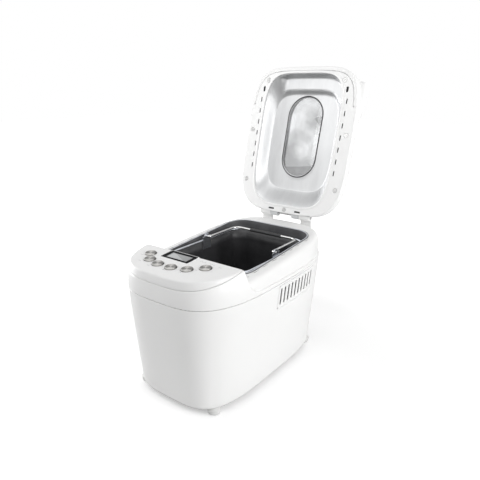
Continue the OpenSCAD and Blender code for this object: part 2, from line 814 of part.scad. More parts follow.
module pan_ears() {
    color("silver") machine() for (x = [-1, 1]) {
        x0 = x > 0 ? ear_in - ear_t : -ear_in;
        difference() {
            union() {
                translate([x0, oven_y - ear_w / 2, pan_rim_h - ear_drop])
                    cube([ear_t, ear_w, bail_z - pan_rim_h + ear_drop]);
                translate([0, oven_y, bail_z]) rod_x(6, x0, x0 + ear_t);
            }
            translate([0, oven_y, bail_z]) rod_x(bail_r + run_gap, x0 - 1, x0 + ear_t + 1);
        }
    }
}
bail_bend = 14;
module pan_handle() {
    arm = bail_l - bail_bend;
    color("silver") machine() translate([0, oven_y, bail_z]) {
        for (x = [-1, 1]) {
            x0 = x > 0 ? bail_x - 4 : -ear_in - 0.5;
            rod_x(bail_r, x0, x0 + ear_in + 4.5 - bail_x);
            translate([x * (bail_x - 4), 0, 0]) {
                sphere(bail_r);
                rotate([-90, 0, 0]) cylinder(r = bail_r, h = arm + eps);
            }
            translate([x * (bail_x - 4 - bail_bend), arm, 0]) rotate([0, 0, x > 0 ? 0 : 90])
                rotate_extrude(angle = 90) translate([bail_bend, 0]) circle(bail_r);
        }
        cross = bail_x - 4 - bail_bend + eps;
        translate([0, bail_l, 0]) rod_x(bail_r, -cross, cross);
    }
}
grip_w = 70;
module handle_grip() {
    color("black") machine() translate([0, oven_y + bail_l, bail_z]) rotate([0, 90, 0])
        tube(bail_r + 1.4, bail_r + run_gap, -grip_w / 2, grip_w / 2);
}
module pan_base_ring() {
    color("silver") machine() translate([0, oven_y, 0]) {
        tube(ring_r, ring_r - ring_t, liner_z + sheet_t + loose, pan_z - seat);
    }
}
module pan_bush() {
    color("goldenrod") machine() translate([0, oven_y, 0]) {
        tube(pan_bush_r, spindle_r + run_gap, pan_z - 1.5, pan_z + 7);
        tube(pan_bush_r + 4, spindle_r + run_gap, pan_z + 2 + seat, pan_z + 4);
    }
}
pan_dog_z = drive_dog_z + dog_t + prong_h + 1;
hub_z = pan_z + 7 + loose;
module pan_spindle() {
    color("silver") machine() translate([0, oven_y, 0]) difference() {
        rod(spindle_r, pan_dog_z, hub_z + 20);
        translate([spindle_r - 1.2, -10, hub_z]) cube([10, 20, 30]);
    }
}
module pan_dog() {
    color("silver") machine() translate([0, oven_y, 0]) {
        tube(dog_r, spindle_r + run_gap, pan_dog_z, pan_dog_z + dog_t - 1);
        prongs(prong_w / 2 + loose, pan_dog_z - prong_h + eps);
    }
}
module kneading_paddle() {
    color("dimgray") machine() translate([0, oven_y, hub_z]) {
        difference() {
            cylinder(r1 = spindle_r + 7, r2 = spindle_r + 4, h = 22);
            difference() {
                rod(spindle_r + run_gap, -1, 20.5);
                translate([spindle_r - 1.1, -10, -2]) cube([10, 20, 30]);
            }
        }
        difference() {
            hull() {
                translate([spindle_r + 2, 0, 1]) cylinder(r = 3, h = blade_h - 3, $fn = 24);
                translate([blade_l - 3, -6, 1]) cylinder(r = 2, h = blade_h * 0.55, $fn = 24);
            }
            rod(spindle_r + 3, -1, 40);
        }
    }
}

// ---- Lid ----
lid_mid = 112;
lid_front_n = 5;
lid_rear_n = 3.6;
function lid_plan(x, front, rear, steps) = [
    for (p = plan(x, front - lid_mid, lid_mid + rear, lid_front_n, lid_rear_n, steps)) [p[0], p[1] - lid_mid]
];
function lid_inset(d) = lid_plan(lid_x - d, lid_front - d, lid_rear - d, dome_steps);
dome_side = 16;
frame_step_s = 206;
frame_step_in = 5;
frame_in = wall + loose;
mouth_front = 265;
mouth_rear = 16;
floor_x = reflector_x - 18;
floor_front = 222;
floor_rear = 52;
window_s = 151;
oval_x = 89;
oval_s = 236;
hinge_slot_x = 30;
hinge_slot_s = 7;
frame_slot_s = 88;
frame_slot_count = 7;
lid_screw_spots = [[lid_x - 34, 252], [34 - lid_x, 252], [lid_x - 12, 157], [12 - lid_x, 157],
    [lid_x - 14, 58], [14 - lid_x, 58], [0, 7.5]];
lid_screw_r = 1.6;
lid_head_r = 4;
screw_reach = 14;
lid_boss_r = 5;
notch_x = tower_x + tower_w + 2;

function mouth_plan(x, front, rear) = [
    for (p = plan(x, (front - rear) / 2, (front - rear) / 2, 5, 4.4, dome_steps)) [p[0], p[1] - (front + rear) / 2]
];
module dome_form(inset) {
    hull() {
        linear_extrude(dome_side - inset) polygon(lid_inset(inset));
        layer(lid_inset(inset + 6), lid_depth - 16 - inset);
        layer(lid_inset(inset + 18), lid_depth - 6 - inset);
        layer(lid_inset(inset + crown_in), lid_depth - slab - inset);
    }
}
module finger_grip(side) {
    s0 = 190;
    hull() {
        translate([side * (lid_x - 10), -s0 - grip_l, 14]) sphere(4, $fn = 16);
        translate([side * (lid_x - 8), -s0, 16]) sphere(4, $fn = 16);
        translate([side * (lid_x + grip_out - 6), -s0 - grip_l * 0.35, 18]) sphere(6, $fn = 16);
        translate([side * (lid_x + grip_out - 9), -s0 - grip_l * 0.75, 18]) sphere(6, $fn = 16);
        translate([side * (lid_x - 24), -s0 - grip_l * 0.4, 24]) sphere(4, $fn = 16);
    }
}
module lid_shell() {
    color("white") on_lid() difference() {
        union() {
            dome_form(0);
            for (side = [-1, 1]) finger_grip(side);
        }
        difference() {
            translate([0, 0, -eps]) dome_form(wall);
            translate([0, -frame_step_s - 300, -1]) linear_extrude(frame_t + 1) difference() {
                square(600, center = true);
                translate([0, frame_step_s + 300]) polygon(lid_inset(frame_in + frame_step_in - loose));
            }
            for (p = lid_screw_spots) if (p[1] > knuckle_r + 3) translate([p[0], -p[1], 0])
                rod(lid_boss_r, frame_t + seat, lid_depth);
        }
        for (p = lid_screw_spots) if (p[1] > knuckle_r + 3) translate([p[0], -p[1], 0])
            rod(lid_screw_r + run_gap, -1, screw_reach + 0.5);
        translate([0, -window_s, lid_depth - 20]) linear_extrude(40) stadium(window_w + 2 * fit, window_l + 2 * fit);
        translate([-notch_x, -knuckle_r - 3, -1]) cube([2 * notch_x, 30, hinge_rise + knuckle_r + 4]);
    }
}
module frame_plan() {
    difference() {
        union() {
            intersection() {
                polygon(lid_inset(frame_in));
                translate([-big, -frame_step_s]) square([2 * big, big]);
            }
            polygon(lid_inset(frame_in + frame_step_in));
        }
        polygon(mouth_plan(reflector_x, mouth_front, mouth_rear));
        for (x = [-1, 1]) {
            for (i = [0 : frame_slot_count - 1])
                translate([x * frame_slot_x, -frame_slot_s - i * frame_slot_pitch]) square([2.4, 9], center = true);
            translate([x * oval_x, -oval_s]) stadium(5, 10);
            translate([x * hinge_slot_x, -hinge_slot_s]) square([13, 3.2], center = true);
        }
    }
}
module lid_frame() {
    color("white") on_lid() difference() {
        linear_extrude(frame_t) frame_plan();
        for (p = lid_screw_spots) translate([p[0], -p[1], -1]) {
            cylinder(r = lid_screw_r + fit, h = frame_t + 2);
            cylinder(r = lid_head_r + fit, h = 1 + frame_t / 2);
        }
    }
}
module lid_screws() {
    color("silver") on_lid() for (p = lid_screw_spots) translate([p[0], -p[1], 0]) {
        head_z = 0.2;
        rod(lid_head_r, head_z, frame_t / 2 - 0.05);
        rod(lid_screw_r, frame_t / 2 - 0.06, p[1] > knuckle_r + 3 ? screw_reach : hinge_rise / 2);
    }
}
flange_z = frame_t + seat / 2;
flange_t = 1;
flange_w = 4;
module lid_reflector() {
    color("silver") on_lid() difference() {
        union() {
            translate([0, 0, flange_z]) linear_extrude(flange_t)
                polygon(mouth_plan(reflector_x + flange_w, mouth_front + flange_w, mouth_rear - 3));
            hull() {
                layer(mouth_plan(reflector_x + 1, mouth_front + 1, mouth_rear - 1), flange_z);
                layer(mouth_plan(floor_x + 1, floor_front + 1, floor_rear - 1), reflector_depth);
            }
        }
        hull() {
            layer(mouth_plan(reflector_x, mouth_front, mouth_rear), flange_z - slab);
            layer(mouth_plan(floor_x, floor_front, floor_rear), reflector_depth - 1);
        }
        translate([0, -window_s, 5]) linear_extrude(40) stadium(window_w - 8, window_l - 8);
        for (p = lid_screw_spots) translate([p[0], -p[1], 0]) rod(lid_boss_r + loose, 0, flange_z + flange_t + eps);
    }
}
window_z = reflector_depth + seat;
module inner_window() {
    color("lightblue", 0.4) on_lid() translate([0, -window_s, window_z]) linear_extrude(glass_t)
        stadium(window_w, window_l);
}
module window_gasket() {
    color("black") on_lid() translate([0, -window_s, window_z]) linear_extrude(lid_depth - wall - seat - window_z)
        difference() {
            stadium(window_w + 8, window_l + 8);
            stadium(window_w + 2 * fit, window_l + 2 * fit);
        }
}
module outer_window() {
    color("lightblue", 0.4) on_lid() translate([0, -window_s, lid_depth - glass_t]) linear_extrude(glass_t)
        stadium(window_w, window_l);
}
block_l = 14;
block_w = 16;
flange_gap = 0.4;
module lid_hinge_block() {
    block_z = frame_t + seat;
    reach = tower_x - loose;
    screw = lid_screw_spots[len(lid_screw_spots) - 1];
    color("silver") on_lid() difference() {
        union() {
            for (x0 = [-reach, reach - block_w]) {
                translate([0, 0, hinge_rise]) rod_x(knuckle_r, x0, x0 + block_w);
                translate([x0, -block_l, block_z]) cube([block_w, block_l, hinge_rise - block_z]);
            }
            translate([-reach, -block_l, block_z]) cube([2 * reach, 8, hinge_rise - block_z - 1]);
        }
        translate([0, 0, hinge_rise]) rod_x(hinge_pin_r + run_gap, -reach - 1, reach + 1);
        translate([screw[0], -screw[1], 0]) rod(lid_screw_r + run_gap, 0, hinge_rise / 2 + 1);
        linear_extrude(flange_z + flange_t + flange_gap) polygon(mouth_plan(
            reflector_x + flange_w + flange_gap, mouth_front + flange_w + flange_gap, mouth_rear - 3 - flange_gap));
    }
}
module hinge_pin() {
    color("silver") machine() translate([0, hinge_y, hinge_z])
        rod_x(hinge_pin_r, -tower_x - tower_w + 0.5, tower_x + tower_w - 0.5);
}

lower_housing();
base_plate();
feet();
housing_screws();
vent_grille_right();
vent_grille_left();
upper_frame();
panel_cover();
lcd_bezel();
lcd_glass();
control_board();
board_screws();
button_1();
button_2();
button_3();
button_4();
button_5();
button_6();
mains_inlet();
chassis();
oven_liner();
heating_element();
element_supports();
thermostat_probe();
pan_socket();
shaft_bush();
drive_shaft();
drive_dog();
drive_pulley();
drive_belt();
motor();
motor_rotor();
motor_pulley();
motor_fan();
power_board();
bread_pan();
pan_rim();
pan_ears();
pan_base_ring();
pan_bush();
pan_handle();
handle_grip();
pan_spindle();
pan_dog();
kneading_paddle();
lid_shell();
lid_frame();
lid_reflector();
window_gasket();
inner_window();
outer_window();
lid_screws();
lid_hinge_block();
hinge_pin();
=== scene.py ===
import json
import math
import bpy
import bmesh
import numpy as np
from mathutils import Matrix, Vector


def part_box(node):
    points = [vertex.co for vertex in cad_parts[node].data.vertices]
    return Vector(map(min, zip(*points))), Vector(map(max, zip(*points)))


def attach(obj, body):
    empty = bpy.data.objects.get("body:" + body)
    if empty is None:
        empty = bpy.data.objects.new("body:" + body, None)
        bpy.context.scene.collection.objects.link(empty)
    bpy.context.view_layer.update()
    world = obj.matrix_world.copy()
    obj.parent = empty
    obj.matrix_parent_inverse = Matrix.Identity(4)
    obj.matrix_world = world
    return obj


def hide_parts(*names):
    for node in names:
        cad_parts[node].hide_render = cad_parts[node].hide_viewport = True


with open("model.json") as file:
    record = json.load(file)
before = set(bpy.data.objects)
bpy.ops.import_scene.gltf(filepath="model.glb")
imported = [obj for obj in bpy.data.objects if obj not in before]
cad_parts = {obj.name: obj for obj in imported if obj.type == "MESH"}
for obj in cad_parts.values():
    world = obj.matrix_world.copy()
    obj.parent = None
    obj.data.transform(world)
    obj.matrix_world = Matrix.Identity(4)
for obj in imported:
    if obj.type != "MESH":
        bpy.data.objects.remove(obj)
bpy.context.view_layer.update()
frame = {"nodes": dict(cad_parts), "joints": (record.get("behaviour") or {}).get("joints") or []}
scene = bpy.context.scene
nodes = frame["nodes"]
print("frame loaded:", len(nodes), "nodes")

# Sizes are in millimetres from the middle of the body, and place() turns them into metres in the shared frame
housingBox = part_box("lower_housing")
shiftY = (housingBox[0][1] + housingBox[1][1]) / 2
hingeJoint = next(j for j in frame["joints"] if j["name"] == "lid_hinge")
hingeAt = Vector(hingeJoint["pos_m"])
deck = {"edgeY": -102.0, "height": 220.0, "panelHeight": 242.0, "ovenY": 24.0, "tilt": 3.9, "panelTilt": 4.7,
        "coverTilt": 13.4, "coverY": -189.0, "coverZ": 220.27, "consoleLean": 0.1923, "consoleCos": 0.982,
        "lidOpen": 107.3, "pivotOver": 10.0}
lidSwing = math.radians(deck["tilt"] - deck["lidOpen"])
panelTilt = math.radians(deck["panelTilt"])
deckTan, deckCos = math.tan(math.radians(deck["tilt"])), math.cos(math.radians(deck["tilt"]))
coverTan, coverCos = math.tan(math.radians(deck["coverTilt"])), math.cos(math.radians(deck["coverTilt"]))


def place(points):
    p = np.array(points, float) * 0.001
    p[:, 1] += shiftY
    return p


def placeOnLid(points):
    # points are across, distance from the hinge towards the front edge, and height into the dome
    p = np.array(points, float)
    y, z = -p[:, 1], p[:, 2] - deck["pivotOver"]
    c, s = math.cos(lidSwing), math.sin(lidSwing)
    turned = np.column_stack((p[:, 0], y * c - z * s, y * s + z * c))
    return turned * 0.001 + np.array((0, hingeAt[1], hingeAt[2]))


def placeOnPanel(points):
    # points are across, distance down the slope from the panel's rear edge, and height over it
    p = np.array(points, float)
    c, s = math.cos(panelTilt), math.sin(panelTilt)
    y, z = -p[:, 1], p[:, 2]
    return place(np.column_stack((p[:, 0], deck["edgeY"] + y * c - z * s, deck["panelHeight"] + y * s + z * c)))


def placeOnDeck(points):
    # points are across, distance up the slope from the console, and height over the deck
    x, along, over = points[:, 0], points[:, 1] * deckCos, points[:, 2]
    return place(np.column_stack((x, deck["edgeY"] + along, deck["height"] + along * deckTan + over)))


def addObject(name, data):
    obj = bpy.data.objects.new(name, data)
    scene.collection.objects.link(obj)
    return obj


def join(obj, body, replace=()):
    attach(obj, body)
    if replace:
        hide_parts(*replace)
    return obj


def addMesh(name, points, faces, body, slot, material, replace=()):
    mesh = bpy.data.meshes.new(name)
    mesh.from_pydata([tuple(p) for p in points], [], [tuple(int(i) for i in f) for f in faces])
    mesh.validate()
    mesh.shade_smooth()
    mesh.materials.append(material)
    return join(addObject(name, mesh), body, replace)


def outwards(obj, merge=1e-6):
    bm = bmesh.new()
    bm.from_mesh(obj.data)
    bmesh.ops.remove_doubles(bm, verts=bm.verts, dist=merge)
    bmesh.ops.recalc_face_normals(bm, faces=bm.faces)
    bm.to_mesh(obj.data)
    bm.free()
    return obj


def takeMesh(maker, material):
    # the evaluated result of a curve or a node tree as a plain mesh
    mesh = bpy.data.meshes.new_from_object(maker.evaluated_get(bpy.context.evaluated_depsgraph_get()))
    maker.modifiers.clear()
    bpy.data.objects.remove(maker)
    mesh.materials.clear()
    mesh.materials.append(material)
    return mesh


def mapMesh(mesh, mapping):
    points = np.array([v.co[:] for v in mesh.vertices])
    mesh.vertices.foreach_set("co", mapping(points).ravel())
    mesh.update()


class Wire:
    def __init__(self, board, socket):
        self.board = board
        self.socket = socket

    def maths(self, operation, a, b):
        return self.board.node("ShaderNodeMath", {"operation": operation}, {0: a, 1: b})

    def __add__(self, other):
        return self.maths("ADD", self, other)

    def __radd__(self, other):
        return self.maths("ADD", other, self)

    def __sub__(self, other):
        return self.maths("SUBTRACT", self, other)

    def __rsub__(self, other):
        return self.maths("SUBTRACT", other, self)

    def __mul__(self, other):
        return self.maths("MULTIPLY", self, other)

    def __rmul__(self, other):
        return self.maths("MULTIPLY", other, self)


class Board:
    def __init__(self, owner, end="ShaderNodeOutputMaterial"):
        self.owner = bpy.data.materials.new(owner) if isinstance(owner, str) else owner
        self.owner.use_nodes = True
        self.tree = self.owner.node_tree
        self.tree.nodes.clear()
        self.end = self.tree.nodes.new(end)

    def node(self, kind, settings=None, inputs=None, out=0):
        made = self.tree.nodes.new(kind)
        for key, value in (settings or {}).items():
            setattr(made, key, value)
        for key, value in (inputs or {}).items():
            target = made.inputs[key]
            if isinstance(value, Wire):
                self.tree.links.new(value.socket, target)
            else:
                target.default_value = (*value, 1) if target.type == "RGBA" and len(value) == 3 else value
        return Wire(self, made.outputs[out])

    def coords(self, scale=(1, 1, 1)):
        where = self.node("ShaderNodeTexCoord", out="Object")
        return self.node("ShaderNodeMapping", {}, {"Vector": where, "Scale": scale})

    def acrossAndUp(self, uvMap):
        where = self.node("ShaderNodeUVMap", {"uv_map": uvMap})
        return [self.node("ShaderNodeSeparateXYZ", {}, {0: where}, out=k) for k in (0, 1)]

    def noise(self, vector, scale, detail=3.0, roughness=0.5):
        return self.node("ShaderNodeTexNoise", {},
                         {"Vector": vector, "Scale": scale, "Detail": detail, "Roughness": roughness})

    def range(self, value, lo, hi, fromLo=0.0, fromHi=1.0):
        return self.node("ShaderNodeMapRange", {"clamp": True},
                         {"Value": value, "From Min": fromLo, "From Max": fromHi, "To Min": lo, "To Max": hi})

    def mix(self, factor, a, b):
        return self.node("ShaderNodeMix", {"data_type": "RGBA"}, {0: factor, 6: a, 7: b}, out=2)

    def bump(self, height, strength, distance):
        return self.node("ShaderNodeBump", {}, {"Height": height, "Strength": strength, "Distance": distance})

    def seenBy(self, *rays):
        # 1 where the ray is of any of these kinds
        wires = [self.node("ShaderNodeLightPath", out=kind) for kind in rays]
        total = wires[0]
        for wire in wires[1:]:
            total = total.maths("MAXIMUM", total, wire)
        return total

    def close(self, shader):
        self.tree.links.new(shader.socket, self.end.inputs[0])
        return self.owner

    def finish(self, **sockets):
        named = {key.replace("_", " "): value for key, value in sockets.items()}
        return self.close(self.node("ShaderNodeBsdfPrincipled", {}, named))


def plastic(name, colour, drift, driftScale, grainScale, grain, rough, coat=0.0, ior=1.49):
    # moulded plastic: fine grain, a slow drift of tone and handled patches that are a little glossier
    b = Board(name)
    where = b.coords()
    cloud = b.noise(where, driftScale, 2.0)
    fine = b.noise(where, grainScale, 2.0, 0.6)
    wear = b.noise(where, 38.0, 5.0, 0.62)
    tone = b.mix(b.range(cloud, 0.0, 1.0, 0.35, 0.65), tuple(c * drift for c in colour), colour)
    return b.finish(Base_Color=tone, Roughness=b.range(wear, *rough, 0.3, 0.7) + (fine - 0.5) * 0.04,
                    Normal=b.bump(fine, grain, 0.0004), Coat_Weight=coat, Coat_Roughness=0.08, IOR=ior)


def metal(name, streak, scale, dark, light, rough, cloud=16.0, bump=0.05):
    # drawn or pressed metal: streaks along one way, cloudy tone and small marks
    b = Board(name)
    streaks = b.noise(b.coords(streak), scale, 4.0, 0.65)
    clouds = b.noise(b.coords(), cloud, 4.0, 0.55)
    marks = b.noise(b.coords(), 240.0, 2.0, 0.5)
    tone = b.range(streaks, 0.0, 0.6, 0.3, 0.7) + b.range(clouds, 0.0, 0.4, 0.3, 0.7)
    return b.finish(Base_Color=b.mix(tone, dark, light), Metallic=1.0, Normal=b.bump(streaks, bump, 0.0003),
                    Roughness=b.range(clouds, *rough, 0.3, 0.7) + b.range(marks, 0.0, 0.08, 0.62, 0.7))


def coating(name, dark, light, fleck, rough):
    # baked or non-stick coating: orange peel, flecks and wiped patches
    b = Board(name)
    where = b.coords()
    peel = b.noise(where, 420.0, 3.0, 0.55)
    flecks = b.range(b.noise(where, 1500.0, 1.0), 0.0, 1.0, 0.68, 0.74)
    wipe = b.noise(where, 22.0, 4.0, 0.6)
    base = b.mix(b.range(wipe, 0.0, 1.0, 0.3, 0.7), dark, light)
    return b.finish(Base_Color=b.mix(flecks * fleck, base, (0.42, 0.42, 0.43)),
                    Roughness=b.range(wipe, *rough, 0.3, 0.7), Normal=b.bump(peel, 0.12, 0.0004))


def rubber(name, colour, rough=(0.5, 0.7)):
    b = Board(name)
    where = b.coords()
    grain = b.noise(where, 900.0, 2.0, 0.6)
    bloom = b.noise(where, 45.0, 4.0, 0.6)
    tone = b.mix(b.range(bloom, 0.0, 1.0, 0.35, 0.75), colour, tuple(c * 1.5 + 0.01 for c in colour))
    return b.finish(Base_Color=tone, Roughness=b.range(bloom, *rough, 0.3, 0.7), Normal=b.bump(grain, 0.15, 0.0003))


def circuit(name, colour):
    # circuit board: solder mask over a lattice of tracks
    b = Board(name)
    where = b.coords()
    tracks = b.node("ShaderNodeTexBrick", {"offset": 0.4, "squash": 0.7},
                    {"Vector": where, "Scale": 150.0, "Mortar Size": 0.03}, out=1)
    dust = b.noise(where, 60.0, 4.0)
    base = b.mix(tracks, colour, tuple(c * 1.9 for c in colour))
    return b.finish(Base_Color=b.mix(b.range(dust, 0.0, 0.25, 0.45, 0.7), base, (0.3, 0.3, 0.26)),
                    Roughness=b.range(dust, 0.3, 0.5, 0.3, 0.7), Normal=b.bump(tracks, 0.3, 0.0002))


def spunMetal(name):
    # fine rings, and two soft bright wedges with dark ones between, painted into the colour as the reflections
    # where the turning marks catch the light
    b = Board(name)
    turn, reach = b.acrossAndUp("spin")
    rings = b.node("ShaderNodeMath", {"operation": "SINE"}, {0: reach * 160.0})
    # the wedges are a painted reflection of the turning marks, not a tone of the metal
    paintedSheen = b.node("ShaderNodeMath", {"operation": "COSINE"}, {0: (turn - 0.34) * (4 * math.pi)})
    tone = b.range(paintedSheen, 0.0, 1.0, -0.9, 0.9) * 0.75 + b.noise(b.coords(), 300.0, 2.0) * 0.3
    return b.finish(Base_Color=b.mix(tone, (0.09, 0.088, 0.085), (0.56, 0.55, 0.53)), Metallic=1.0,
                    Roughness=0.3 + rings * 0.04, Normal=b.bump(rings, 0.12, 0.0001))


def displayGlass(name):
    # a grey polariser with a painted reflection, lighter over its lower left past a sharp diagonal, with faint
    # cells
    b = Board(name)
    u, v = b.acrossAndUp("face")
    # the lighter lower left past the sharp diagonal is a painted reflection
    edge = b.range(u * 0.62 + v * 0.5, 0.0, 1.0, 0.548, 0.572)
    cells = b.node("ShaderNodeTexBrick", {"offset": 0.0, "squash": 1.0},
                   {"Vector": b.coords(), "Scale": 420.0, "Mortar Size": 0.04}, out=1)
    grain = b.noise(b.coords(), 500.0, 2.0)
    base = b.mix(edge, (0.42, 0.43, 0.435), (0.26, 0.265, 0.27))
    return b.finish(Base_Color=b.mix(cells * 0.12 + grain * 0.06, base, (0.1, 0.11, 0.11)),
                    Roughness=b.range(grain, 0.12, 0.18, 0.3, 0.7), Coat_Weight=0.5, Coat_Roughness=0.04)


def windowGlass(name, tint):
    b = Board(name)
    haze = b.noise(b.coords(), 14.0, 3.0, 0.55)
    film = b.mix(b.range(haze, 0.0, 1.0, 0.4, 0.6), tuple(c * 0.7 for c in tint), tint)
    return b.finish(Base_Color=film, Roughness=b.range(haze, 0.0, 0.04, 0.35, 0.7), Transmission_Weight=1.0,
                    IOR=1.45)


# colour, how dark it drifts, scale of the drift, scale and depth of the grain, roughness, coat
plasticLooks = {
    "housing": ((0.86, 0.86, 0.855), 0.985, 9.0, 1300.0, 0.035, (0.3, 0.4), 0.12),
    "panel": ((0.82, 0.82, 0.817), 0.99, 12.0, 1500.0, 0.02, (0.33, 0.37), 0.1),
    "lid": ((0.9, 0.9, 0.896), 0.99, 9.0, 1400.0, 0.02, (0.32, 0.36), 0.1),
    "frame": ((0.93, 0.93, 0.926), 0.985, 14.0, 1200.0, 0.04, (0.36, 0.46)),
    "hinge": ((0.66, 0.67, 0.68), 0.96, 40.0, 1200.0, 0.04, (0.3, 0.42)),
    "base": ((0.62, 0.62, 0.61), 0.95, 20.0, 800.0, 0.12, (0.5, 0.62)),
    "foot": ((0.78, 0.78, 0.77), 0.94, 60.0, 800.0, 0.12, (0.5, 0.65)),
    "bezel": ((0.005, 0.005, 0.006), 0.8, 60.0, 1600.0, 0.01, (0.2, 0.3), 0.0, 1.08),
    # the same black plastic also makes the dark strips behind the slots, where it is painted shade
    "inlet": ((0.035, 0.035, 0.036), 0.8, 60.0, 900.0, 0.15, (0.42, 0.55)),
    "grip": ((0.03, 0.03, 0.032), 0.8, 60.0, 900.0, 0.2, (0.45, 0.6)),
    # the louvre grey is painted shade: the dark slats make the vent slots read dark
    "louvre": ((0.15, 0.15, 0.152), 0.9, 60.0, 900.0, 0.1, (0.5, 0.6)),
    "nylon": ((0.76, 0.74, 0.68), 0.93, 30.0, 700.0, 0.12, (0.4, 0.55)),
}
# stretch and scale of the streaks, dark and light tone, roughness, scale of the clouds, depth of the streaks
metalLooks = {
    "reflector": ((14, 3, 3), 5.0, (0.5, 0.505, 0.51), (0.6, 0.605, 0.61), (0.38, 0.44), 9.0, 0.004),
    "rim": ((3, 3, 60), 12.0, (0.5, 0.52, 0.56), (0.72, 0.74, 0.78), (0.24, 0.36)),
    "wire": ((3, 60, 60), 14.0, (0.55, 0.55, 0.55), (0.8, 0.8, 0.8), (0.1, 0.2), 16.0, 0.02),
    "sheet": ((5, 5, 5), 9.0, (0.42, 0.43, 0.44), (0.66, 0.67, 0.68), (0.3, 0.45), 60.0),
    "turned": ((2, 2, 260), 10.0, (0.48, 0.48, 0.48), (0.7, 0.7, 0.7), (0.2, 0.32), 16.0, 0.06),
    "screw": ((20, 20, 20), 20.0, (0.42, 0.42, 0.42), (0.72, 0.72, 0.71), (0.24, 0.38), 120.0),
    "element": ((10, 10, 10), 20.0, (0.07, 0.065, 0.06), (0.22, 0.2, 0.18), (0.42, 0.6), 60.0),
    "brass": ((2, 2, 200), 12.0, (0.48, 0.33, 0.13), (0.78, 0.6, 0.3), (0.22, 0.36)),
    "motor": ((3, 3, 120), 8.0, (0.3, 0.31, 0.32), (0.5, 0.51, 0.52), (0.3, 0.46), 30.0),
}
white = {key: plastic(key + "Plastic", *look) for key, look in plasticLooks.items()}
steel = {key: metal(key + "Metal", *look) for key, look in metalLooks.items()}
chamberCoating = coating("chamberCoating", (0.07, 0.07, 0.075), (0.13, 0.13, 0.135), 0.5, (0.35, 0.5))
nonStick = coating("nonStick", (0.022, 0.022, 0.024), (0.05, 0.05, 0.053), 0.3, (0.28, 0.42))
gasketRubber = rubber("gasketRubber", (0.035, 0.035, 0.038), (0.3, 0.45))
beltRubber = rubber("beltRubber", (0.02, 0.02, 0.021))
markInk = rubber("markInk", (0.3, 0.3, 0.31), (0.4, 0.5))
circuitGreen = circuit("circuitGreen", (0.02, 0.13, 0.05))
circuitBrown = circuit("circuitBrown", (0.24, 0.13, 0.05))
keyFinish = spunMetal("keyMetal")
displayFinish = displayGlass("displayGlass")
clearGlass = windowGlass("clearGlass", (0.95, 0.955, 0.96))
smokedGlass = windowGlass("smokedGlass", (0.63, 0.635, 0.64))
print("materials ready")


def smoothMin(a, b, k):
    h = np.clip(0.5 + 0.5 * (b - a) / k, 0.0, 1.0)
    return b * (1 - h) + a * h - k * h * (1 - h)


def smoothMax(a, b, k):
    return -smoothMin(-a, -b, k)


def fieldSkin(field, xs, ys, zs, settle=3):
    # a closed skin of quads round the solid whose distance in millimetres the field gives
    axes = [np.array(v, float) for v in (xs, ys, zs)]
    grids = np.meshgrid(*axes, indexing="ij")
    f = field(*grids)
    inside = f < 0
    shape = tuple(len(v) - 1 for v in axes)
    total = np.zeros(shape + (3,))
    count = np.zeros(shape)
    quads = []
    numbers = np.arange(shape[0] * shape[1] * shape[2]).reshape(shape)
    for axis in range(3):
        lo, hi = [slice(None)] * 3, [slice(None)] * 3
        lo[axis], hi[axis] = slice(0, -1), slice(1, None)
        lo, hi = tuple(lo), tuple(hi)
        crossing = inside[lo] != inside[hi]
        index = np.argwhere(crossing)
        a, b = f[lo][crossing], f[hi][crossing]
        t = a / (a - b)
        spots = np.stack([g[lo][crossing] * (1 - t) + g[hi][crossing] * t for g in grids], 1)
        u, v = [k for k in range(3) if k != axis]
        around = []
        keep = np.ones(len(index), bool)
        for du, dv in ((-1, -1), (0, -1), (0, 0), (-1, 0)):
            cell = index.copy()
            cell[:, u] += du
            cell[:, v] += dv
            for k in (u, v):
                keep &= (cell[:, k] >= 0) & (cell[:, k] < shape[k])
            around.append(cell)
        rows = []
        for cell in around:
            cell = tuple(cell[keep].T)
            np.add.at(total, cell, spots[keep])
            np.add.at(count, cell, 1)
            rows.append(numbers[cell])
        quad = np.stack(rows, 1)
        outward = inside[lo][crossing][keep]
        turned = outward if axis != 1 else ~outward
        quad[~turned] = quad[~turned][:, ::-1]
        quads.append(quad)
    used = count > 0
    points = total[used] / count[used][:, None]
    lookup = -np.ones(numbers.size, int)
    lookup[numbers[used]] = np.arange(len(points))
    quads = lookup[np.concatenate(quads)]
    cells = np.argwhere(used)
    low = np.stack([v[cells[:, k]] for k, v in enumerate(axes)], 1)
    high = np.stack([v[cells[:, k] + 1] for k, v in enumerate(axes)], 1)
    spare = (high - low) * 0.2
    step = 0.05

    def rise():
        sides = [(field(*(points + d).T), field(*(points - d).T)) for d in np.eye(3) * step]
        return np.stack([(ahead - behind) / (2 * step) for ahead, behind in sides], 1)

    for _ in range(settle):
        slope = rise()
        size = np.maximum((slope ** 2).sum(1), 0.04)
        points = np.clip(points - slope * (field(*points.T) / size)[:, None], low - spare, high + spare)
    slope = rise()
    return points, quads, slope / np.maximum(np.linalg.norm(slope, axis=1), 1e-6)[:, None]


def addSkin(name, skin, mapping, *facts, replace=(), flip=False):
    # the skin's own slope gives every vertex its exact normal
    points, faces, normals = skin
    spots = mapping(points)
    obj = addMesh(name, spots, faces[:, ::-1] if flip else faces, *facts, replace)
    ahead = mapping(points + normals * 0.01) - spots
    ahead /= np.maximum(np.linalg.norm(ahead, axis=1), 1e-12)[:, None]
    obj.data.normals_split_custom_set_from_vertices([tuple(n) for n in ahead])
    print(name, "built:", len(faces), "faces")
    return obj


def steps(*parts):
    # grid lines from (start, end, spacing) runs
    lines = [np.linspace(a, b, max(2, int(round((b - a) / d)) + 1)) for a, b, d in parts]
    return np.unique(np.round(np.concatenate(lines), 4))


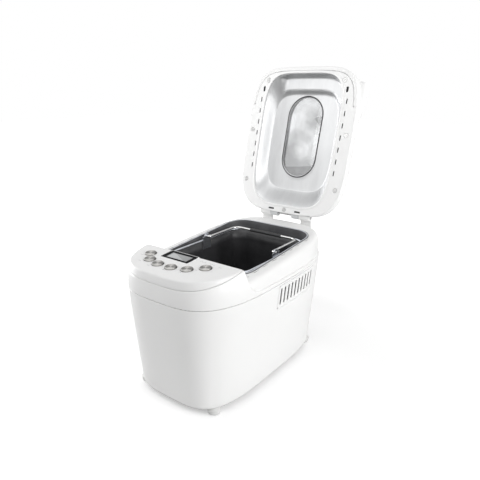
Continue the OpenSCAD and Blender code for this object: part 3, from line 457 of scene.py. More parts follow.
def bends(*turns):
    # how far a unit bend has come in and how far it has risen after each turn in degrees
    return [(1 - math.cos(math.radians(turn)), math.sin(math.radians(turn))) for turn in turns]


def nearest(value, first, pitch, count):
    # the place in an even row that is nearest to the value
    return first + np.clip(np.round((value - first) / pitch), 0, count - 1) * pitch


def superDistance(x, y, ax, front, back, powerFront, powerBack):
    # distance to a rounded outline whose front (-y) and back halves have their own reach
    n = np.where(y < 0, powerFront, powerBack)
    ay = np.where(y < 0, front, back)
    u = np.maximum(np.abs(x) / ax, 1e-6)
    v = np.maximum(np.abs(y) / ay, 1e-6)
    f = (u ** n + v ** n) ** (1 / n)
    gu = (u / f) ** (n - 1) / ax
    gv = (v / f) ** (n - 1) / ay
    return (f - 1) / np.sqrt(gu ** 2 + gv ** 2)


def roundedDistance(x, y, halfX, halfY, r):
    qx = np.abs(x) - halfX + r
    qy = np.abs(y) - halfY + r
    return np.hypot(np.maximum(qx, 0), np.maximum(qy, 0)) + np.minimum(np.maximum(qx, qy), 0) - r


def stadiumDistance(x, y, width, length):
    return roundedDistance(x, y, width / 2, length / 2, width / 2 - 1e-3)


body = {"halfW": 115.0, "halfD": 188.8, "power": 3.4, "baseW": 100.0, "baseFront": 174.8, "baseBack": 172.8,
        "basePower": 4.0, "bottom": 8.0, "seam": 193.0, "fillet": 7.0, "lip": 1.1, "wall": 3.2}
inlet = {"halfX": 14.6, "low": 17.4, "high": 38.6, "column": 16.5}
vent = {"front": -19.0, "back": 101.0, "low": 147.0, "high": 189.0, "slots": 10, "pitch": 11.6, "slotW": 4.5,
        "slotH": 30.6, "midY": 41.0, "midZ": 168.0}


def wallSize(z):
    # half width, roundness, front and rear reach of the housing at one height
    u = (z - body["bottom"]) / (body["seam"] - body["bottom"])
    return [body[low] * (1 - u) + body[high] * u for low, high in
            (("baseW", "halfW"), ("basePower", "power"), ("baseFront", "halfD"), ("baseBack", "halfD"))]


def wallRing(z, inset=0.0):
    # one level of the housing's outline, with vertical columns along the vents and the inlet
    a, power, front, back = wallSize(z)
    a -= inset
    reach = {-1: front - inset, 1: back - inset}
    corner = 2 ** (-1 / body["power"])
    yCorner, xCorner, column = body["halfD"] * corner, body["halfW"] * corner, inlet["column"]
    side = steps((-yCorner, vent["front"], 4.0), (vent["front"], vent["back"], 4.0), (vent["back"], yCorner, 4.0))
    end = steps((-xCorner, -column, 4.0), (-column, column, 4.0), (column, xCorner, 4.0))[1:-1]
    ring = []
    for which in (1, -1):
        for y in side * which:
            s = 1 if y > 0 else -1
            w = min(max((abs(y) - 112.0) / 42.0, 0.0), 1.0)
            w = w * w * (3 - 2 * w)
            here = y * (1 - w + w * reach[s] / body["halfD"])
            ring.append((which * a * (1 - abs(here / reach[s]) ** power) ** (1 / power), here))
        for x in -end * which:
            x /= body["halfW"]
            ring.append((x * a, which * reach[which] * (1 - abs(x) ** power) ** (1 / power)))
    return ring


def wallX(y, z):
    # distance of the side wall from the middle plane
    a, power, front, back = wallSize(z)
    return a * (1 - np.abs(y / np.where(y < 0, front, back)) ** power) ** (1 / power)


def isOpening(a, b):
    # whether the face between two opposite corners lies in a vent or in the inlet
    inVent = (min(a[1], b[1]) > vent["front"] - 0.5 and max(a[1], b[1]) < vent["back"] + 0.5
              and a[2] > vent["low"] - 0.5 and b[2] < vent["high"] + 0.5 and abs(a[0]) > 60)
    x, z = (a[0] + b[0]) / 2, (a[2] + b[2]) / 2
    return inVent or (a[1] > 100 and abs(x) < inlet["halfX"] and inlet["low"] < z < inlet["high"])


def addWall(obj, name, thickness, offset):
    wall = obj.modifiers.new(name, "SOLIDIFY")
    wall.thickness = thickness * 0.001
    wall.offset = offset
    return wall


# (height, inset) of each level, from the lower fillet to the lip under the seam
levels = []
for inwards, up in bends(*range(90, -1, -15)):
    levels.append((round(body["bottom"] + body["fillet"] * (1 - up), 4), round(body["fillet"] * inwards, 4)))
for z in steps((body["bottom"] + body["fillet"], inlet["low"], 7.0), (inlet["low"], inlet["high"], 5.5),
               (inlet["high"], vent["low"] - 0.3, 7.0), (vent["low"] - 0.3, vent["high"] + 0.3, 6.0),
               (vent["high"] + 0.3, body["seam"] - body["lip"], 2.0))[1:]:
    levels.append((z, 0.0))
for inwards, up in bends(30, 60, 90):
    levels.append((body["seam"] - body["lip"] + body["lip"] * up, body["lip"] * inwards))
points, faces = [], []
for z, inset in levels:
    points += [(x, y, z) for x, y in wallRing(z, inset)]
count = len(points) // len(levels)
for k in range(len(levels) - 1):
    for j in range(count):
        jn = (j + 1) % count
        if not isOpening(points[k * count + j], points[(k + 1) * count + jn]):
            faces.append((k * count + j, k * count + jn, (k + 1) * count + jn, (k + 1) * count + j))
housing = addMesh("housingShell", place(points), faces, "machine", "housing_plastic", white["housing"],
                  ("lower_housing",))
wall = addWall(housing, "wall", body["wall"], -1)
wall.use_even_offset = True
print("housing built")


def ventField(d, y, z):
    halfY, halfZ = (vent["back"] - vent["front"]) / 2 - 0.25, (vent["high"] - vent["low"]) / 2 - 0.25
    plate = roundedDistance(y - vent["midY"], z - vent["midZ"], halfY, halfZ, 4.5)
    near = nearest(y, vent["midY"] - (vent["slots"] - 1) * vent["pitch"] / 2, vent["pitch"], vent["slots"])
    slot = stadiumDistance(y - near, z - vent["midZ"], vent["slotW"], vent["slotH"])
    rise = 0.25 + 0.35 * np.clip((-plate - 1.2) / 1.0, 0, 1) * np.clip((3.2 + plate) / 1.0, 0, 1)
    slab = np.maximum(d - rise, -1.7 - d)
    return smoothMax(smoothMax(slab, plate, 0.8), -slot, 0.7)


ventSkin = fieldSkin(ventField, steps((-2.4, 1.4, 0.6)), steps((vent["front"] - 1, vent["back"] + 1, 0.8)),
                     steps((vent["low"] - 1, vent["high"] + 1, 0.8)), 2)
for side, label in ((1, "Right"), (-1, "Left")):
    def toWall(p, side=side):
        return place(np.column_stack((side * (wallX(p[:, 1], p[:, 2]) + p[:, 0]), p[:, 1], p[:, 2])))

    addSkin("ventGrille" + label, ventSkin, toWall, "machine", "housing_plastic", white["housing"],
            replace=("vent_grille_" + label.lower(),), flip=side < 0)


def openTree(name, *sizes):
    # a tree that takes points and the named sizes, each a (label, socket type)
    tree = bpy.data.node_groups.new(name, "GeometryNodeTree")
    tree.interface.new_socket("Points", in_out="INPUT", socket_type="NodeSocketGeometry")
    tree.interface.new_socket("Geometry", in_out="OUTPUT", socket_type="NodeSocketGeometry")
    made = [(label, tree.interface.new_socket(label, in_out="INPUT", socket_type=kind)) for label, kind in sizes]
    return tree, {label: socket.identifier for label, socket in made}, tree.nodes.new("NodeGroupInput").outputs


def geoNode(tree, kind, settings=None, inputs=None):
    made = tree.nodes.new(kind)
    for key, value in (settings or {}).items():
        setattr(made, key, value)
    for key, value in (inputs or {}).items():
        if isinstance(value, bpy.types.NodeSocket):
            tree.links.new(value, made.inputs[key])
        else:
            made.inputs[key].default_value = value
    return made.outputs[0]


def closeTree(tree, seats, piece, material, turn=None):
    # one copy of the piece on each seat, made real and given its material
    spread = geoNode(tree, "GeometryNodeInstanceOnPoints", {}, {"Points": seats, "Instance": piece})
    if turn:
        tree.links.new(turn, spread.node.inputs["Rotation"])
    real = geoNode(tree, "GeometryNodeRealizeInstances", {}, {"Geometry": spread})
    paint = geoNode(tree, "GeometryNodeSetMaterial", {}, {"Geometry": real, "Material": material})
    tree.links.new(paint, tree.nodes.new("NodeGroupOutput").inputs[0])


def addBaked(name, made, values, seats, mapping, body, material, replace=()):
    # the tree is evaluated on its seats and the result is kept as a plain mesh
    tree, sockets = made
    seed = bpy.data.meshes.new(name + "Seed")
    seed.from_pydata([tuple(p) for p in seats], [], [])
    maker = addObject(name + "Maker", seed)
    modifier = maker.modifiers.new("pattern", "NODES")
    modifier.node_group = tree
    for label, value in values.items():
        modifier[sockets[label]] = value
    mesh = takeMesh(maker, material)
    mapMesh(mesh, mapping)
    return join(outwards(addObject(name, mesh)), body, replace)


def boxTree(material):
    # one small box on each seat, turned by the tilt
    tree, sockets, source = openTree("boxesOnSeats", ("Size", "NodeSocketVector"), ("Tilt", "NodeSocketFloat"),
                                     ("Rows", "NodeSocketInt"))
    box = geoNode(tree, "GeometryNodeMeshCube", {},
                  {"Size": source["Size"], "Vertices Y": 3, "Vertices Z": source["Rows"]})
    turn = geoNode(tree, "ShaderNodeCombineXYZ", {}, {"Z": source["Tilt"]})
    closeTree(tree, source["Points"], box, material, turn)
    return tree, sockets


slats = {"count": 11, "pitch": 11.6, "size": (1.2, 9.0, 36.0), "tilt": 0.5, "rows": 4, "depth": 7.0, "apart": 20.0}


def slatsToWalls(points):
    side = np.sign(points[:, 0])
    y = points[:, 1] + vent["midY"] - (slats["count"] - 1) * slats["pitch"] / 2
    z = points[:, 2] + vent["midZ"]
    across = points[:, 0] - side * slats["apart"]
    return place(np.column_stack((side * (wallX(y, z) - slats["depth"] + across), y, z)))


slatSeats = [(side * slats["apart"], k * slats["pitch"], 0.0) for side in (1, -1) for k in range(slats["count"])]
# the slats behind the vents are dark grey, painted shade for the housing's inside seen through the slots
addBaked("ventLouvres", boxTree(white["louvre"]),
         {"Size": slats["size"], "Tilt": slats["tilt"], "Rows": slats["rows"]}, slatSeats, slatsToWalls,
         "machine", white["louvre"])
print("vents built")

upper = {"low": 193.3, "ledge": 200.0, "shoulder": 13.0, "scoop": 26.0, "skin": 4.2, "slotX": 93.0,
         "slotFirst": 19.0, "slotPitch": 26.3, "slotCount": 8, "slotW": 2.0, "slotL": 12.0, "sideStep": 2.6,
         "ovenX": 88.9, "ovenY": 115.4, "ovenR": 35.4, "towerX": 45.0, "towerHalf": 12.0, "towerR": 7.2,
         "rodR": 2.7}
band = {"inset": 10.0, "height": 53.0, "power": 2.8}
hingeY, hingeZ = 180.3, hingeAt[2] * 1000


def bandInset(z):
    # how far the band above the seam draws in
    return band["inset"] * np.clip((z - body["seam"]) / band["height"], 0, 1.4) ** band["power"]


def bodyDistance(x, y, z):
    halfW, halfD = body["halfW"] - bandInset(z), body["halfD"] - bandInset(z)
    return superDistance(x, y, halfW, halfD, halfD, body["power"], body["power"])


def consoleDistance(y, z):
    return (y - deck["edgeY"] - (deck["panelHeight"] - z) * deck["consoleLean"]) * deck["consoleCos"]


def coverDistance(y, z):
    return (z - deck["coverZ"] - (y - deck["coverY"]) * coverTan) * coverCos


def upperField(x, y, z):
    side, console = bodyDistance(x, y, z), consoleDistance(y, z)
    top = (z - deck["height"] - (y - deck["edgeY"]) * deckTan) * deckCos
    skin, inner = upper["skin"], side + upper["sideStep"]
    lower = smoothMin(z - upper["ledge"], smoothMax(console, coverDistance(y, z), 1.0), upper["scoop"])
    plateau = smoothMax(inner + bandInset(z) * -0.6, top, upper["shoulder"])
    outer = smoothMin(smoothMax(side, lower, 1.6), plateau, 1.0)
    hollow = np.minimum(np.maximum(side + skin, np.minimum(z - upper["ledge"] + skin, console + skin)),
                        smoothMax(inner + skin, top + skin, upper["shoulder"]))
    solid = smoothMax(outer, -hollow, 0.8)
    oven = roundedDistance(x, y - deck["ovenY"], upper["ovenX"], upper["ovenY"], upper["ovenR"])
    solid = smoothMax(solid, -oven, 1.6)
    s = (y - deck["edgeY"]) / deckCos
    near = nearest(s, upper["slotFirst"], upper["slotPitch"], upper["slotCount"])
    slot = stadiumDistance(np.abs(x) - upper["slotX"], s - near, upper["slotW"], upper["slotL"])
    solid = smoothMax(solid, -np.maximum(slot, np.abs(top) - 9), 0.4)
    rod = np.hypot(y - hingeY, z - hingeZ)
    post = roundedDistance(y - hingeY - 4.7, z - hingeZ + 17.0, 2.4, 19.0, 1.5)
    tower = smoothMin(rod - upper["towerR"], post, 3.0)
    tower = smoothMax(tower, np.abs(np.abs(x) - upper["towerX"]) - upper["towerHalf"], 1.2)
    tower = np.maximum(tower, upper["rodR"] - rod)
    solid = smoothMin(solid, np.maximum(tower, -hollow), 2.0)
    return smoothMax(solid, upper["low"] - z, 1.2)


acrossUpper = steps((-117, -96, 1.75), (-96, -90, 0.6), (-90, 90, 2.25), (90, 96, 0.6), (96, 117, 1.75))
upperSkin = fieldSkin(upperField, acrossUpper, steps((-191, 191, 2.0)),
                      steps((192, 204, 1.2), (204, 240, 1.8), (240, 262, 2.0)))
addSkin("upperFrame", upperSkin, place, "machine", "housing_plastic", white["housing"], replace=("upper_frame",))

keySpots = ((-65.5, 28.2), (-49.7, 45.3), (-25.6, 51.7), (1.5, 50.8), (28.2, 43.7), (49.9, 25.7))
panel = {"skin": 3.0, "keyR": 9.7, "bezelX": -14.0, "bezelS": 15.0, "bezelW": 57.0, "bezelD": 27.0,
         "screenW": 44.0, "screenD": 18.0, "edge": 2.6}


def panelField(x, y, z):
    side, console = bodyDistance(x, y, z), consoleDistance(y, z)
    c, s = math.cos(panelTilt), math.sin(panelTilt)
    back, up = y - deck["edgeY"], z - deck["panelHeight"]
    down, over = -(back * c + up * s), -back * s + up * c

    def window(growX, growY, r):
        return roundedDistance(x - panel["bezelX"], down - panel["bezelS"], panel["bezelW"] / 2 + growX,
                               panel["bezelD"] / 2 + growY, r)

    outer = smoothMax(smoothMax(side, over, panel["edge"]), console, 1.6)
    solid = smoothMax(outer, -(smoothMax(np.maximum(side, console), over, 2.0) + panel["skin"]), 0.6)
    solid = smoothMin(solid, smoothMax(smoothMax(window(1.9, 1.4, 1.5), over - 0.7, 0.8), -over - 1.5, 0.3), 0.8)
    solid = smoothMax(solid, -np.maximum(window(0.2, 0.2, 0.6), -over - 0.9), 0.3)
    solid = np.maximum(solid, -window(-3, -3, 0.6))
    for kx, ks in keySpots:
        solid = smoothMax(solid, -(np.hypot(x - kx, down - ks) - panel["keyR"]), 0.8)
    return smoothMax(solid, -coverDistance(y, z) + 0.5, 1.2)


panelSkin = fieldSkin(panelField, steps((-113, 113, 1.1)), steps((-189, -99, 1.05)), steps((218, 245, 0.9)))
addSkin("panelCover", panelSkin, place, "machine", "panel_plastic", white["panel"], replace=("panel_cover",))


def revolve(profile, count, mapping):
    # profile of (radius, height) turned round the third axis; a radius of 0 is a pole
    points, faces, spin, rows = [], [], [], []
    for r, h in profile:
        turns = [2 * math.pi * k / count for k in range(count if r else 1)]
        rows.append(list(range(len(points), len(points) + len(turns))))
        points += [(r * math.cos(a), r * math.sin(a), h) for a in turns]
        spin += [(k / count, r) for k in range(len(turns))]
    for a, b in zip(rows, rows[1:]):
        for k in range(count):
            kn = (k + 1) % count
            if len(a) == 1:
                faces.append((a[0], b[kn], b[k]))
            elif len(b) == 1:
                faces.append((a[k], a[kn], b[0]))
            else:
                faces.append((a[k], a[kn], b[kn], b[k]))
    return mapping(np.array(points)), faces, spin


def spinMap(obj, spin):
    layer = obj.data.uv_layers.new(name="spin")
    for poly in obj.data.polygons:
        corners = [(i, *spin[obj.data.loops[i].vertex_index]) for i in poly.loop_indices]
        turns = [t for i, t, r in corners if r]
        wraps = max(turns) - min(turns) > 0.5
        for i, t, r in corners:
            if not r:
                t = 0.0 if wraps else sum(turns) / len(turns)
            layer.data[i].uv = (t + 1.0 if wraps and t < 0.5 else t, r * 0.1)


key = {"r": 9.2, "rise": 2.0, "dish": 0.5, "dishR": 7.6, "low": -3.5, "stemR": 3.0, "stemLow": -7.6, "sides": 64}
keyRim = ((-0.3, key["low"]), (0.0, key["low"] + 0.3), (0.0, key["rise"] - 1.0), (-0.15, key["rise"] - 0.45),
          (-0.5, key["rise"] - 0.1), (-0.9, key["rise"]), (-1.3, key["rise"] - 0.02))
keyProfile = [(0, key["stemLow"]), (key["stemR"], key["stemLow"]), (key["stemR"], key["low"])]
keyProfile += [(key["r"] + out, h) for out, h in keyRim]
for r in (key["dishR"], 6.4, 5.0, 3.6, 2.2, 0.9, 0):
    keyProfile.append((r, key["rise"] - 0.05 - key["dish"] * (1 - (r / key["dishR"]) ** 2)))
for number, (kx, ks) in enumerate(keySpots, 1):
    def toKey(p, kx=kx, ks=ks):
        return placeOnPanel(np.column_stack((p[:, 0] + kx, ks - p[:, 1], p[:, 2])))

    points, faces, spin = revolve(keyProfile, key["sides"], toKey)
    button = f"button_{number}"
    cap = addMesh(f"key{number}", points, faces, button, "button_metal", keyFinish, (button,))
    spinMap(outwards(cap, 1e-7), spin)
print("keys built")

footProfile = [(0, 0.05), (9.6, 0.05), (10.3, 0.3), (10.6, 0.9), (10.7, 1.6), (10.4, 1.9), (10.4, 2.2), (10.8, 2.6),
               (11.9, 7.6), (11.9, 8.4), (0, 8.4)]
points, faces = [], []
footSpots = ((77, -147), (-77, -147), (77, 145), (-77, 145))
for spot in footSpots:
    foot, footFaces, _ = revolve(footProfile, 48, lambda p: p + np.array((*spot, 0)))
    faces += [tuple(i + len(points) for i in f) for f in footFaces]
    points += [tuple(p) for p in foot]
outwards(addMesh("footPads", place(points), faces, "machine", "foot_plastic", white["foot"], ("feet",)))


def addCurve(name, paths, dimensions, bevel, resolution, closed):
    curve = bpy.data.curves.new(name, "CURVE")
    curve.dimensions = dimensions
    curve.bevel_depth = bevel
    curve.bevel_resolution = resolution
    for path in paths:
        spline = curve.splines.new("POLY")
        spline.points.add(len(path) - 1)
        for point, spot in zip(spline.points, path):
            point.co = (*spot, 1)
        spline.use_cyclic_u = closed
    return curve


def plate(name, outer, holes, low, high, mapping, body, slot, material, bevel=0.3, replace=()):
    # flat plate with holes, from rings of points, with rounded edges
    curve = addCurve(name, [[(x, y, 0) for x, y in ring] for ring in [outer] + holes], "2D", bevel, 2, True)
    curve.fill_mode = "BOTH"
    curve.extrude = (high - low) / 2 - bevel
    curve.offset = -bevel
    mesh = takeMesh(addObject(name + "Maker", curve), material)
    mapMesh(mesh, lambda p: mapping(p + np.array((0, 0, (low + high) / 2))))
    obj = outwards(addObject(name, mesh))
    obj.data.shade_smooth()
    obj.modifiers.new("corner", "EDGE_SPLIT").split_angle = math.radians(40)
    return join(obj, body, replace)


def boxRing(cx, cy, w, d, r, n=6):
    return [(cx + sx * (w / 2 - r) + r * math.cos(a), cy + sy * (d / 2 - r) + r * math.sin(a))
            for k, (sx, sy) in enumerate(((1, 1), (-1, 1), (-1, -1), (1, -1)))
            for a in [math.radians(90 * k + 90 * j / n) for j in range(n + 1)]]


def pillRing(cy, w, length, n=24):
    return [(w / 2 * math.cos(a), cy + sy * (length - w) / 2 + w / 2 * math.sin(a))
            for k, sy in ((0, 1), (1, -1)) for a in [math.radians(180 * k + 180 * j / n) for j in range(n + 1)]]


def displayRing(w, d, r):
    return boxRing(panel["bezelX"], panel["bezelS"], w, d, r)


plate("displayBezel", displayRing(panel["bezelW"], panel["bezelD"], 0.8),
      [displayRing(panel["screenW"], panel["screenD"], 0.5)], -0.55, 0.6, placeOnPanel,
      "machine", "bezel_plastic", white["bezel"], 0.25, ("lcd_bezel",))
screen = plate("displayScreen", displayRing(panel["screenW"] + 1.5, panel["screenD"] + 1.5, 0.3), [], -2.2, -0.1,
               placeOnPanel, "machine", "display", displayFinish, 0.2, ("lcd_glass",)).data
face = screen.uv_layers.new(name="face")
for loop in screen.loops:
    spot = screen.vertices[loop.vertex_index].co
    x, down = spot[0] * 1000 - panel["bezelX"], (spot[1] - shiftY) * 1000 - deck["edgeY"] + panel["bezelS"]
    face.data[loop.index].uv = (x / panel["screenW"] + 0.5, down / panel["screenD"] + 0.5)

# (across, down, strokes, step) for each little row of marks beside the keys
markRows = ((-76.0, 39.0, 2, 2.6), (-62.5, 57.5, 3, 2.0), (-36.0, 63.5, 2, 2.6), (-4.0, 62.8, 3, 2.0),
            (24.0, 56.4, 2, 2.6), (40.5, 38.4, 2, 2.4), (27.0, 10.5, 4, 3.2), (47.0, 10.5, 3, 3.2),
            (66.0, 13.5, 2, 3.2))
addBaked("panelMarks", boxTree(markInk), {"Size": (1.6, 0.65, 0.16), "Tilt": 0.0, "Rows": 2},
         [(across + k * gap, -down, 0.05) for across, down, strokes, gap in markRows for k in range(strokes)],
         lambda p: placeOnPanel(p * np.array((1, -1, 1))), "machine", markInk)
print("display and marks built")


def loft(rings, close=None):
    # rings of equal length as [(x, y, z)...]; "loop" joins the last to the first and "end" fans the last shut
    count, last = len(rings[0]), (len(rings) - 1) * len(rings[0])
    points = [p for ring in rings for p in ring]
    faces = [(k * count + j, k * count + (j + 1) % count, (k + 1) * count + (j + 1) % count, (k + 1) * count + j)
             for k in range(len(rings) - 1) for j in range(count)]
    if close == "loop":
        faces += [(last + j, last + (j + 1) % count, (j + 1) % count, j) for j in range(count)]
    if close == "end":
        points.append(tuple(np.mean(rings[-1], 0)))
        faces += [(last + j, last + (j + 1) % count, len(points) - 1) for j in range(count)]
    return points, faces


def ovalRing(halfX, halfY, r, z, n=10):
    return [(x, y, z) for x, y in boxRing(0, deck["ovenY"], 2 * halfX, 2 * halfY, r, n)]


def shrunk(ring, kx, ky, z):
    return [(x * kx, deck["ovenY"] + (y - deck["ovenY"]) * ky, z) for x, y, _ in ring]


# the lip and the trim are (out from the wall, over the deck) round their sections
chamber = {"halfX": 87.5, "halfY": 114.0, "r": 34.0, "floor": 42.4, "fillet": 8.0, "sheet": 0.8,
           "lip": ((3, 0.25), (2.9, 0.85), (2.4, 1.05), (0.9, 1.05), (0.2, 0.7), (0, 0), (0, -6)),
           "trim": ((-0.3, 0.6), (-0.3, 1.0), (0.0, 1.18), (1.5, 1.18), (1.8, 1.05), (1.8, 0.6))}


def chamberRing(out, z):
    return ovalRing(chamber["halfX"] + out, chamber["halfY"] + out, chamber["r"] + out, z)


def chamberLip(out, over):
    # a ring that follows the deck's slope
    return [(x, y, (y - deck["edgeY"]) * deckTan + deck["height"] + over) for x, y, _ in chamberRing(out, 0)]


rings = [chamberLip(*spot) for spot in chamber["lip"]]
rings += [chamberRing(0, z) for z in (190.0, 150.0, 110.0, 70.0, 52.0)]
for inwards, up in bends(18, 36, 54, 72, 90):
    rings.append(chamberRing(-chamber["fillet"] * inwards, chamber["floor"] + chamber["fillet"] * (1 - up)))
rings.append(chamberRing(-9.1, chamber["floor"]))
rings += [ovalRing(halfX, halfY, r, chamber["floor"]) for halfX, halfY, r in ((60, 86, 20), (25, 51, 8))]
rings.append(shrunk(rings[-1], 0.35, 0.2, chamber["floor"]))
points, faces = loft(rings, "end")
liner = addMesh("chamberLiner", place(points), faces, "machine", "chamber_coating", chamberCoating, ("oven_liner",))
addWall(liner, "sheet", chamber["sheet"], -1)
points, faces = loft([chamberLip(*spot) for spot in chamber["trim"]], "loop")
outwards(addMesh("chamberTrim", place(points), faces, "machine", "sheet_steel", steel["rim"]))

pan = {"halfX": 80.5, "halfY": 105.0, "r": 28.0, "top": 220.5, "bottom": 61.6, "draft": 7.0, "wall": 1.6,
       "fillet": 13.0, "inner": 63.6, "bore": 8.0, "rimR": 1.85, "rimOut": 0.15, "rimUp": 0.35}


def panRing(inset, z):
    # the pan's outline at a height, drawn in by its draft
    k = (pan["top"] - z) / (pan["top"] - pan["bottom"]) * pan["draft"] + inset
    return ovalRing(pan["halfX"] - k, pan["halfY"] - k, max(pan["r"] - k, 3.0), z)


floorRing = panRing(pan["wall"] + pan["fillet"] + 1.0, pan["inner"])
boreTurns = [math.atan2(y - deck["ovenY"], x) for x, y, _ in floorRing]


def panSide(inset, floor):
    # one face of the pan from its rim down the fillet to the bore in its floor
    rings = [panRing(inset, z) for z in (pan["top"], 200.0, 170.0, 140.0, 110.0, floor + pan["fillet"])]
    for inwards, up in bends(*range(15, 91, 15)):
        rings.append(panRing(inset + pan["fillet"] * inwards, floor + pan["fillet"] * (1 - up)))
    edge = panRing(inset + pan["fillet"] + 1.0, floor)
    rings += [edge] + [shrunk(edge, k, k, floor) for k in (0.75, 0.5, 0.25)]
    rings.append([(pan["bore"] * math.cos(a), deck["ovenY"] + pan["bore"] * math.sin(a), floor) for a in boreTurns])
    return rings


points, faces = loft(panSide(pan["wall"], pan["inner"])[::-1] + panSide(0.0, pan["bottom"]), "loop")
outwards(addMesh("panBody", place(points), faces, "pan", "non_stick", nonStick, ("bread_pan",)))
rimRings = []
for k in range(16):
    a = 2 * math.pi * k / 16
    out, z = pan["rimOut"] + pan["rimR"] * math.cos(a), pan["top"] + pan["rimUp"] + pan["rimR"] * math.sin(a)
    rimRings.append(ovalRing(pan["halfX"] + out, pan["halfY"] + out, pan["r"] + out, z, 12))
points, faces = loft(rimRings, "loop")
outwards(addMesh("panRim", place(points), faces, "pan", "pan_metal", steel["rim"], ("pan_rim",)))
print("chamber and pan built")

bail = {"z": 228.5, "wireR": 2.2, "gripY": 108.0, "bendY": 94.0, "bend": 14.0, "eyeBend": 2.4}
earX = pan["halfX"] - pan["wall"] - pan["draft"] * 16 / (pan["top"] - pan["bottom"]) - 0.2
armX = earX - 1.4 - 2 - 4
path = [(earX + 0.4, deck["ovenY"]), (armX + bail["eyeBend"], deck["ovenY"])]
for inwards, up in bends(30, 60, 90):
    path.append((armX + bail["eyeBend"] * (1 - up), deck["ovenY"] + bail["eyeBend"] * inwards))
path += [(armX, y) for y in (40, 60, 80, bail["bendY"])]
for inwards, up in bends(*range(10, 91, 10)):
    path.append((armX - bail["bend"] * inwards, bail["bendY"] + bail["bend"] * up))
path += [(0, bail["gripY"])] + [(-x, y) for x, y in path[::-1]]
curve = addCurve("panHandle", [place([(x, y, bail["z"]) for x, y in path])], "3D", bail["wireR"] * 0.001, 4, False)
curve.use_fill_caps = True
handle = outwards(addObject("panHandle", takeMesh(addObject("panHandleMaker", curve), steel["wire"])))
handle.data.shade_smooth()
join(handle, "handle", ("pan_handle",))

gripEnd = [(2.25, 35.0), (2.9, 35.0), (3.4, 34.6), (3.6, 33.8)]
gripProfile = [(r, -h) for r, h in gripEnd] + [(3.6 - 0.35 * (k % 2), -32.0 + 2.0 * k) for k in range(33)]
gripProfile += gripEnd[::-1] + [(2.25, -35.0)]


def toGrip(p):
    return place(np.column_stack((p[:, 2], bail["gripY"] + p[:, 0], bail["z"] + p[:, 1])))


points, faces, _ = revolve(gripProfile, 32, toGrip)
outwards(addMesh("handleGrip", points, faces, "handle", "grip_plastic", white["grip"], ("handle_grip",)))


paddle = {"hubR": 11.0, "hubTaper": 3.0, "height": 22.0, "reach": 41.0, "sweep": 6.0, "thick": 3.2, "thin": 1.0,
          "tall": 21.0, "drop": 8.0, "boreR": 4.1, "boreTop": 18.0, "low": 68.9}


def paddleField(x, y, z):
    r, half = np.hypot(x, y), paddle["height"] / 2
    hub = smoothMax(r - (paddle["hubR"] - paddle["hubTaper"] * z / paddle["height"]), np.abs(z - half) - half, 2.5)
    along = np.clip(x / paddle["reach"], 0, 1)
    thick, tall = paddle["thick"] - paddle["thin"] * along, paddle["tall"] - paddle["drop"] * along
    blade = smoothMax(np.abs(y + paddle["sweep"] * along ** 1.5) - thick, np.abs(z - 1 - tall / 2) - tall / 2, 2.0)
    blade = smoothMax(blade, np.abs(x - 22) - 21.5, 4.0)
    return smoothMax(smoothMin(hub, blade, 3.0), -np.maximum(r - paddle["boreR"], z - paddle["boreTop"]), 0.5)


def toPan(p):
    return place(p + np.array((0, deck["ovenY"], paddle["low"])))


paddleSkin = fieldSkin(paddleField, steps((-13, 46, 0.9)), steps((-13, 13, 0.9)), steps((-1, 24, 0.9)))
addSkin("kneadingBlade", paddleSkin, toPan, "paddle", "non_stick", nonStick, replace=("kneading_paddle",))
print("handle and paddle built")

lid = {"halfX": 115.0, "front": 276.0, "rear": 1.5, "mid": 112.0, "frontPower": 5.0, "rearPower": 3.6,
       "depth": 45.9, "side": 16.0, "crown": 46.0, "round": 1.8, "scale": 36.0, "skin": 4.0, "stepS": 206.0,
       "windowS": 151.0, "windowW": 78.6, "windowL": 157.6, "flangeW": 7.4, "flangeH": 2.6, "notchX": 59.0}
mouth = {"halfX": 84.0, "front": 265.0, "rear": 16.0, "frontPower": 5.0, "rearPower": 4.4}
grip = {"x": 107.0, "halfX": 13.0, "s": 221.0, "halfS": 32.0, "n": 17.0, "halfN": 8.5, "power": 2.6, "scale": 9.0,
        "blend": 4.0}


def lidDistance(x, s):
    return superDistance(x, lid["mid"] - s, lid["halfX"], lid["front"] - lid["mid"], lid["mid"] + lid["rear"],
                         lid["frontPower"], lid["rearPower"])


def mouthDistance(x, s):
    middle, reach = (mouth["front"] + mouth["rear"]) / 2, (mouth["front"] - mouth["rear"]) / 2
    return superDistance(x, middle - s, mouth["halfX"], reach, reach, mouth["frontPower"], mouth["rearPower"])


def domeField(x, s, n, off=0.0):
    m = lid["round"]
    q = np.clip((lid["crown"] + lidDistance(x, s) + off) / lid["crown"], 0, 3)
    w = np.clip((n + off - lid["side"]) / (lid["depth"] - lid["side"]), 0, 3)
    return ((q ** m + w ** m) ** (1 / m) - 1) * lid["scale"]


def lidShellField(x, s, n):
    reach = ((np.abs(x) - grip["x"]) / grip["halfX"], (s - grip["s"]) / grip["halfS"],
             (n - grip["n"]) / grip["halfN"])
    lobe = sum(np.abs(v) ** grip["power"] for v in reach) ** (1 / grip["power"])
    outer = smoothMin(domeField(x, s, n), (lobe - 1) * grip["scale"], grip["blend"])
    outer = smoothMax(outer, -n, 2.0)
    solid = smoothMax(outer, -domeField(x, s, n, lid["skin"]), 0.6)
    flange = np.maximum(-lidDistance(x, s) - lid["flangeW"], n - lid["flangeH"])
    flange = np.maximum(flange, lid["stepS"] + 0.4 - s)
    solid = np.minimum(solid, smoothMax(np.maximum(flange, outer), -n, 0.6))
    solid = smoothMax(solid, -stadiumDistance(x, s - lid["windowS"], lid["windowW"], lid["windowL"]), 2.0)
    notch = roundedDistance(s + 8.4, n - 9.0, 18.6, 11.2, 3.0)
    return smoothMax(solid, -np.maximum(notch, np.abs(x) - lid["notchX"]), 1.0)


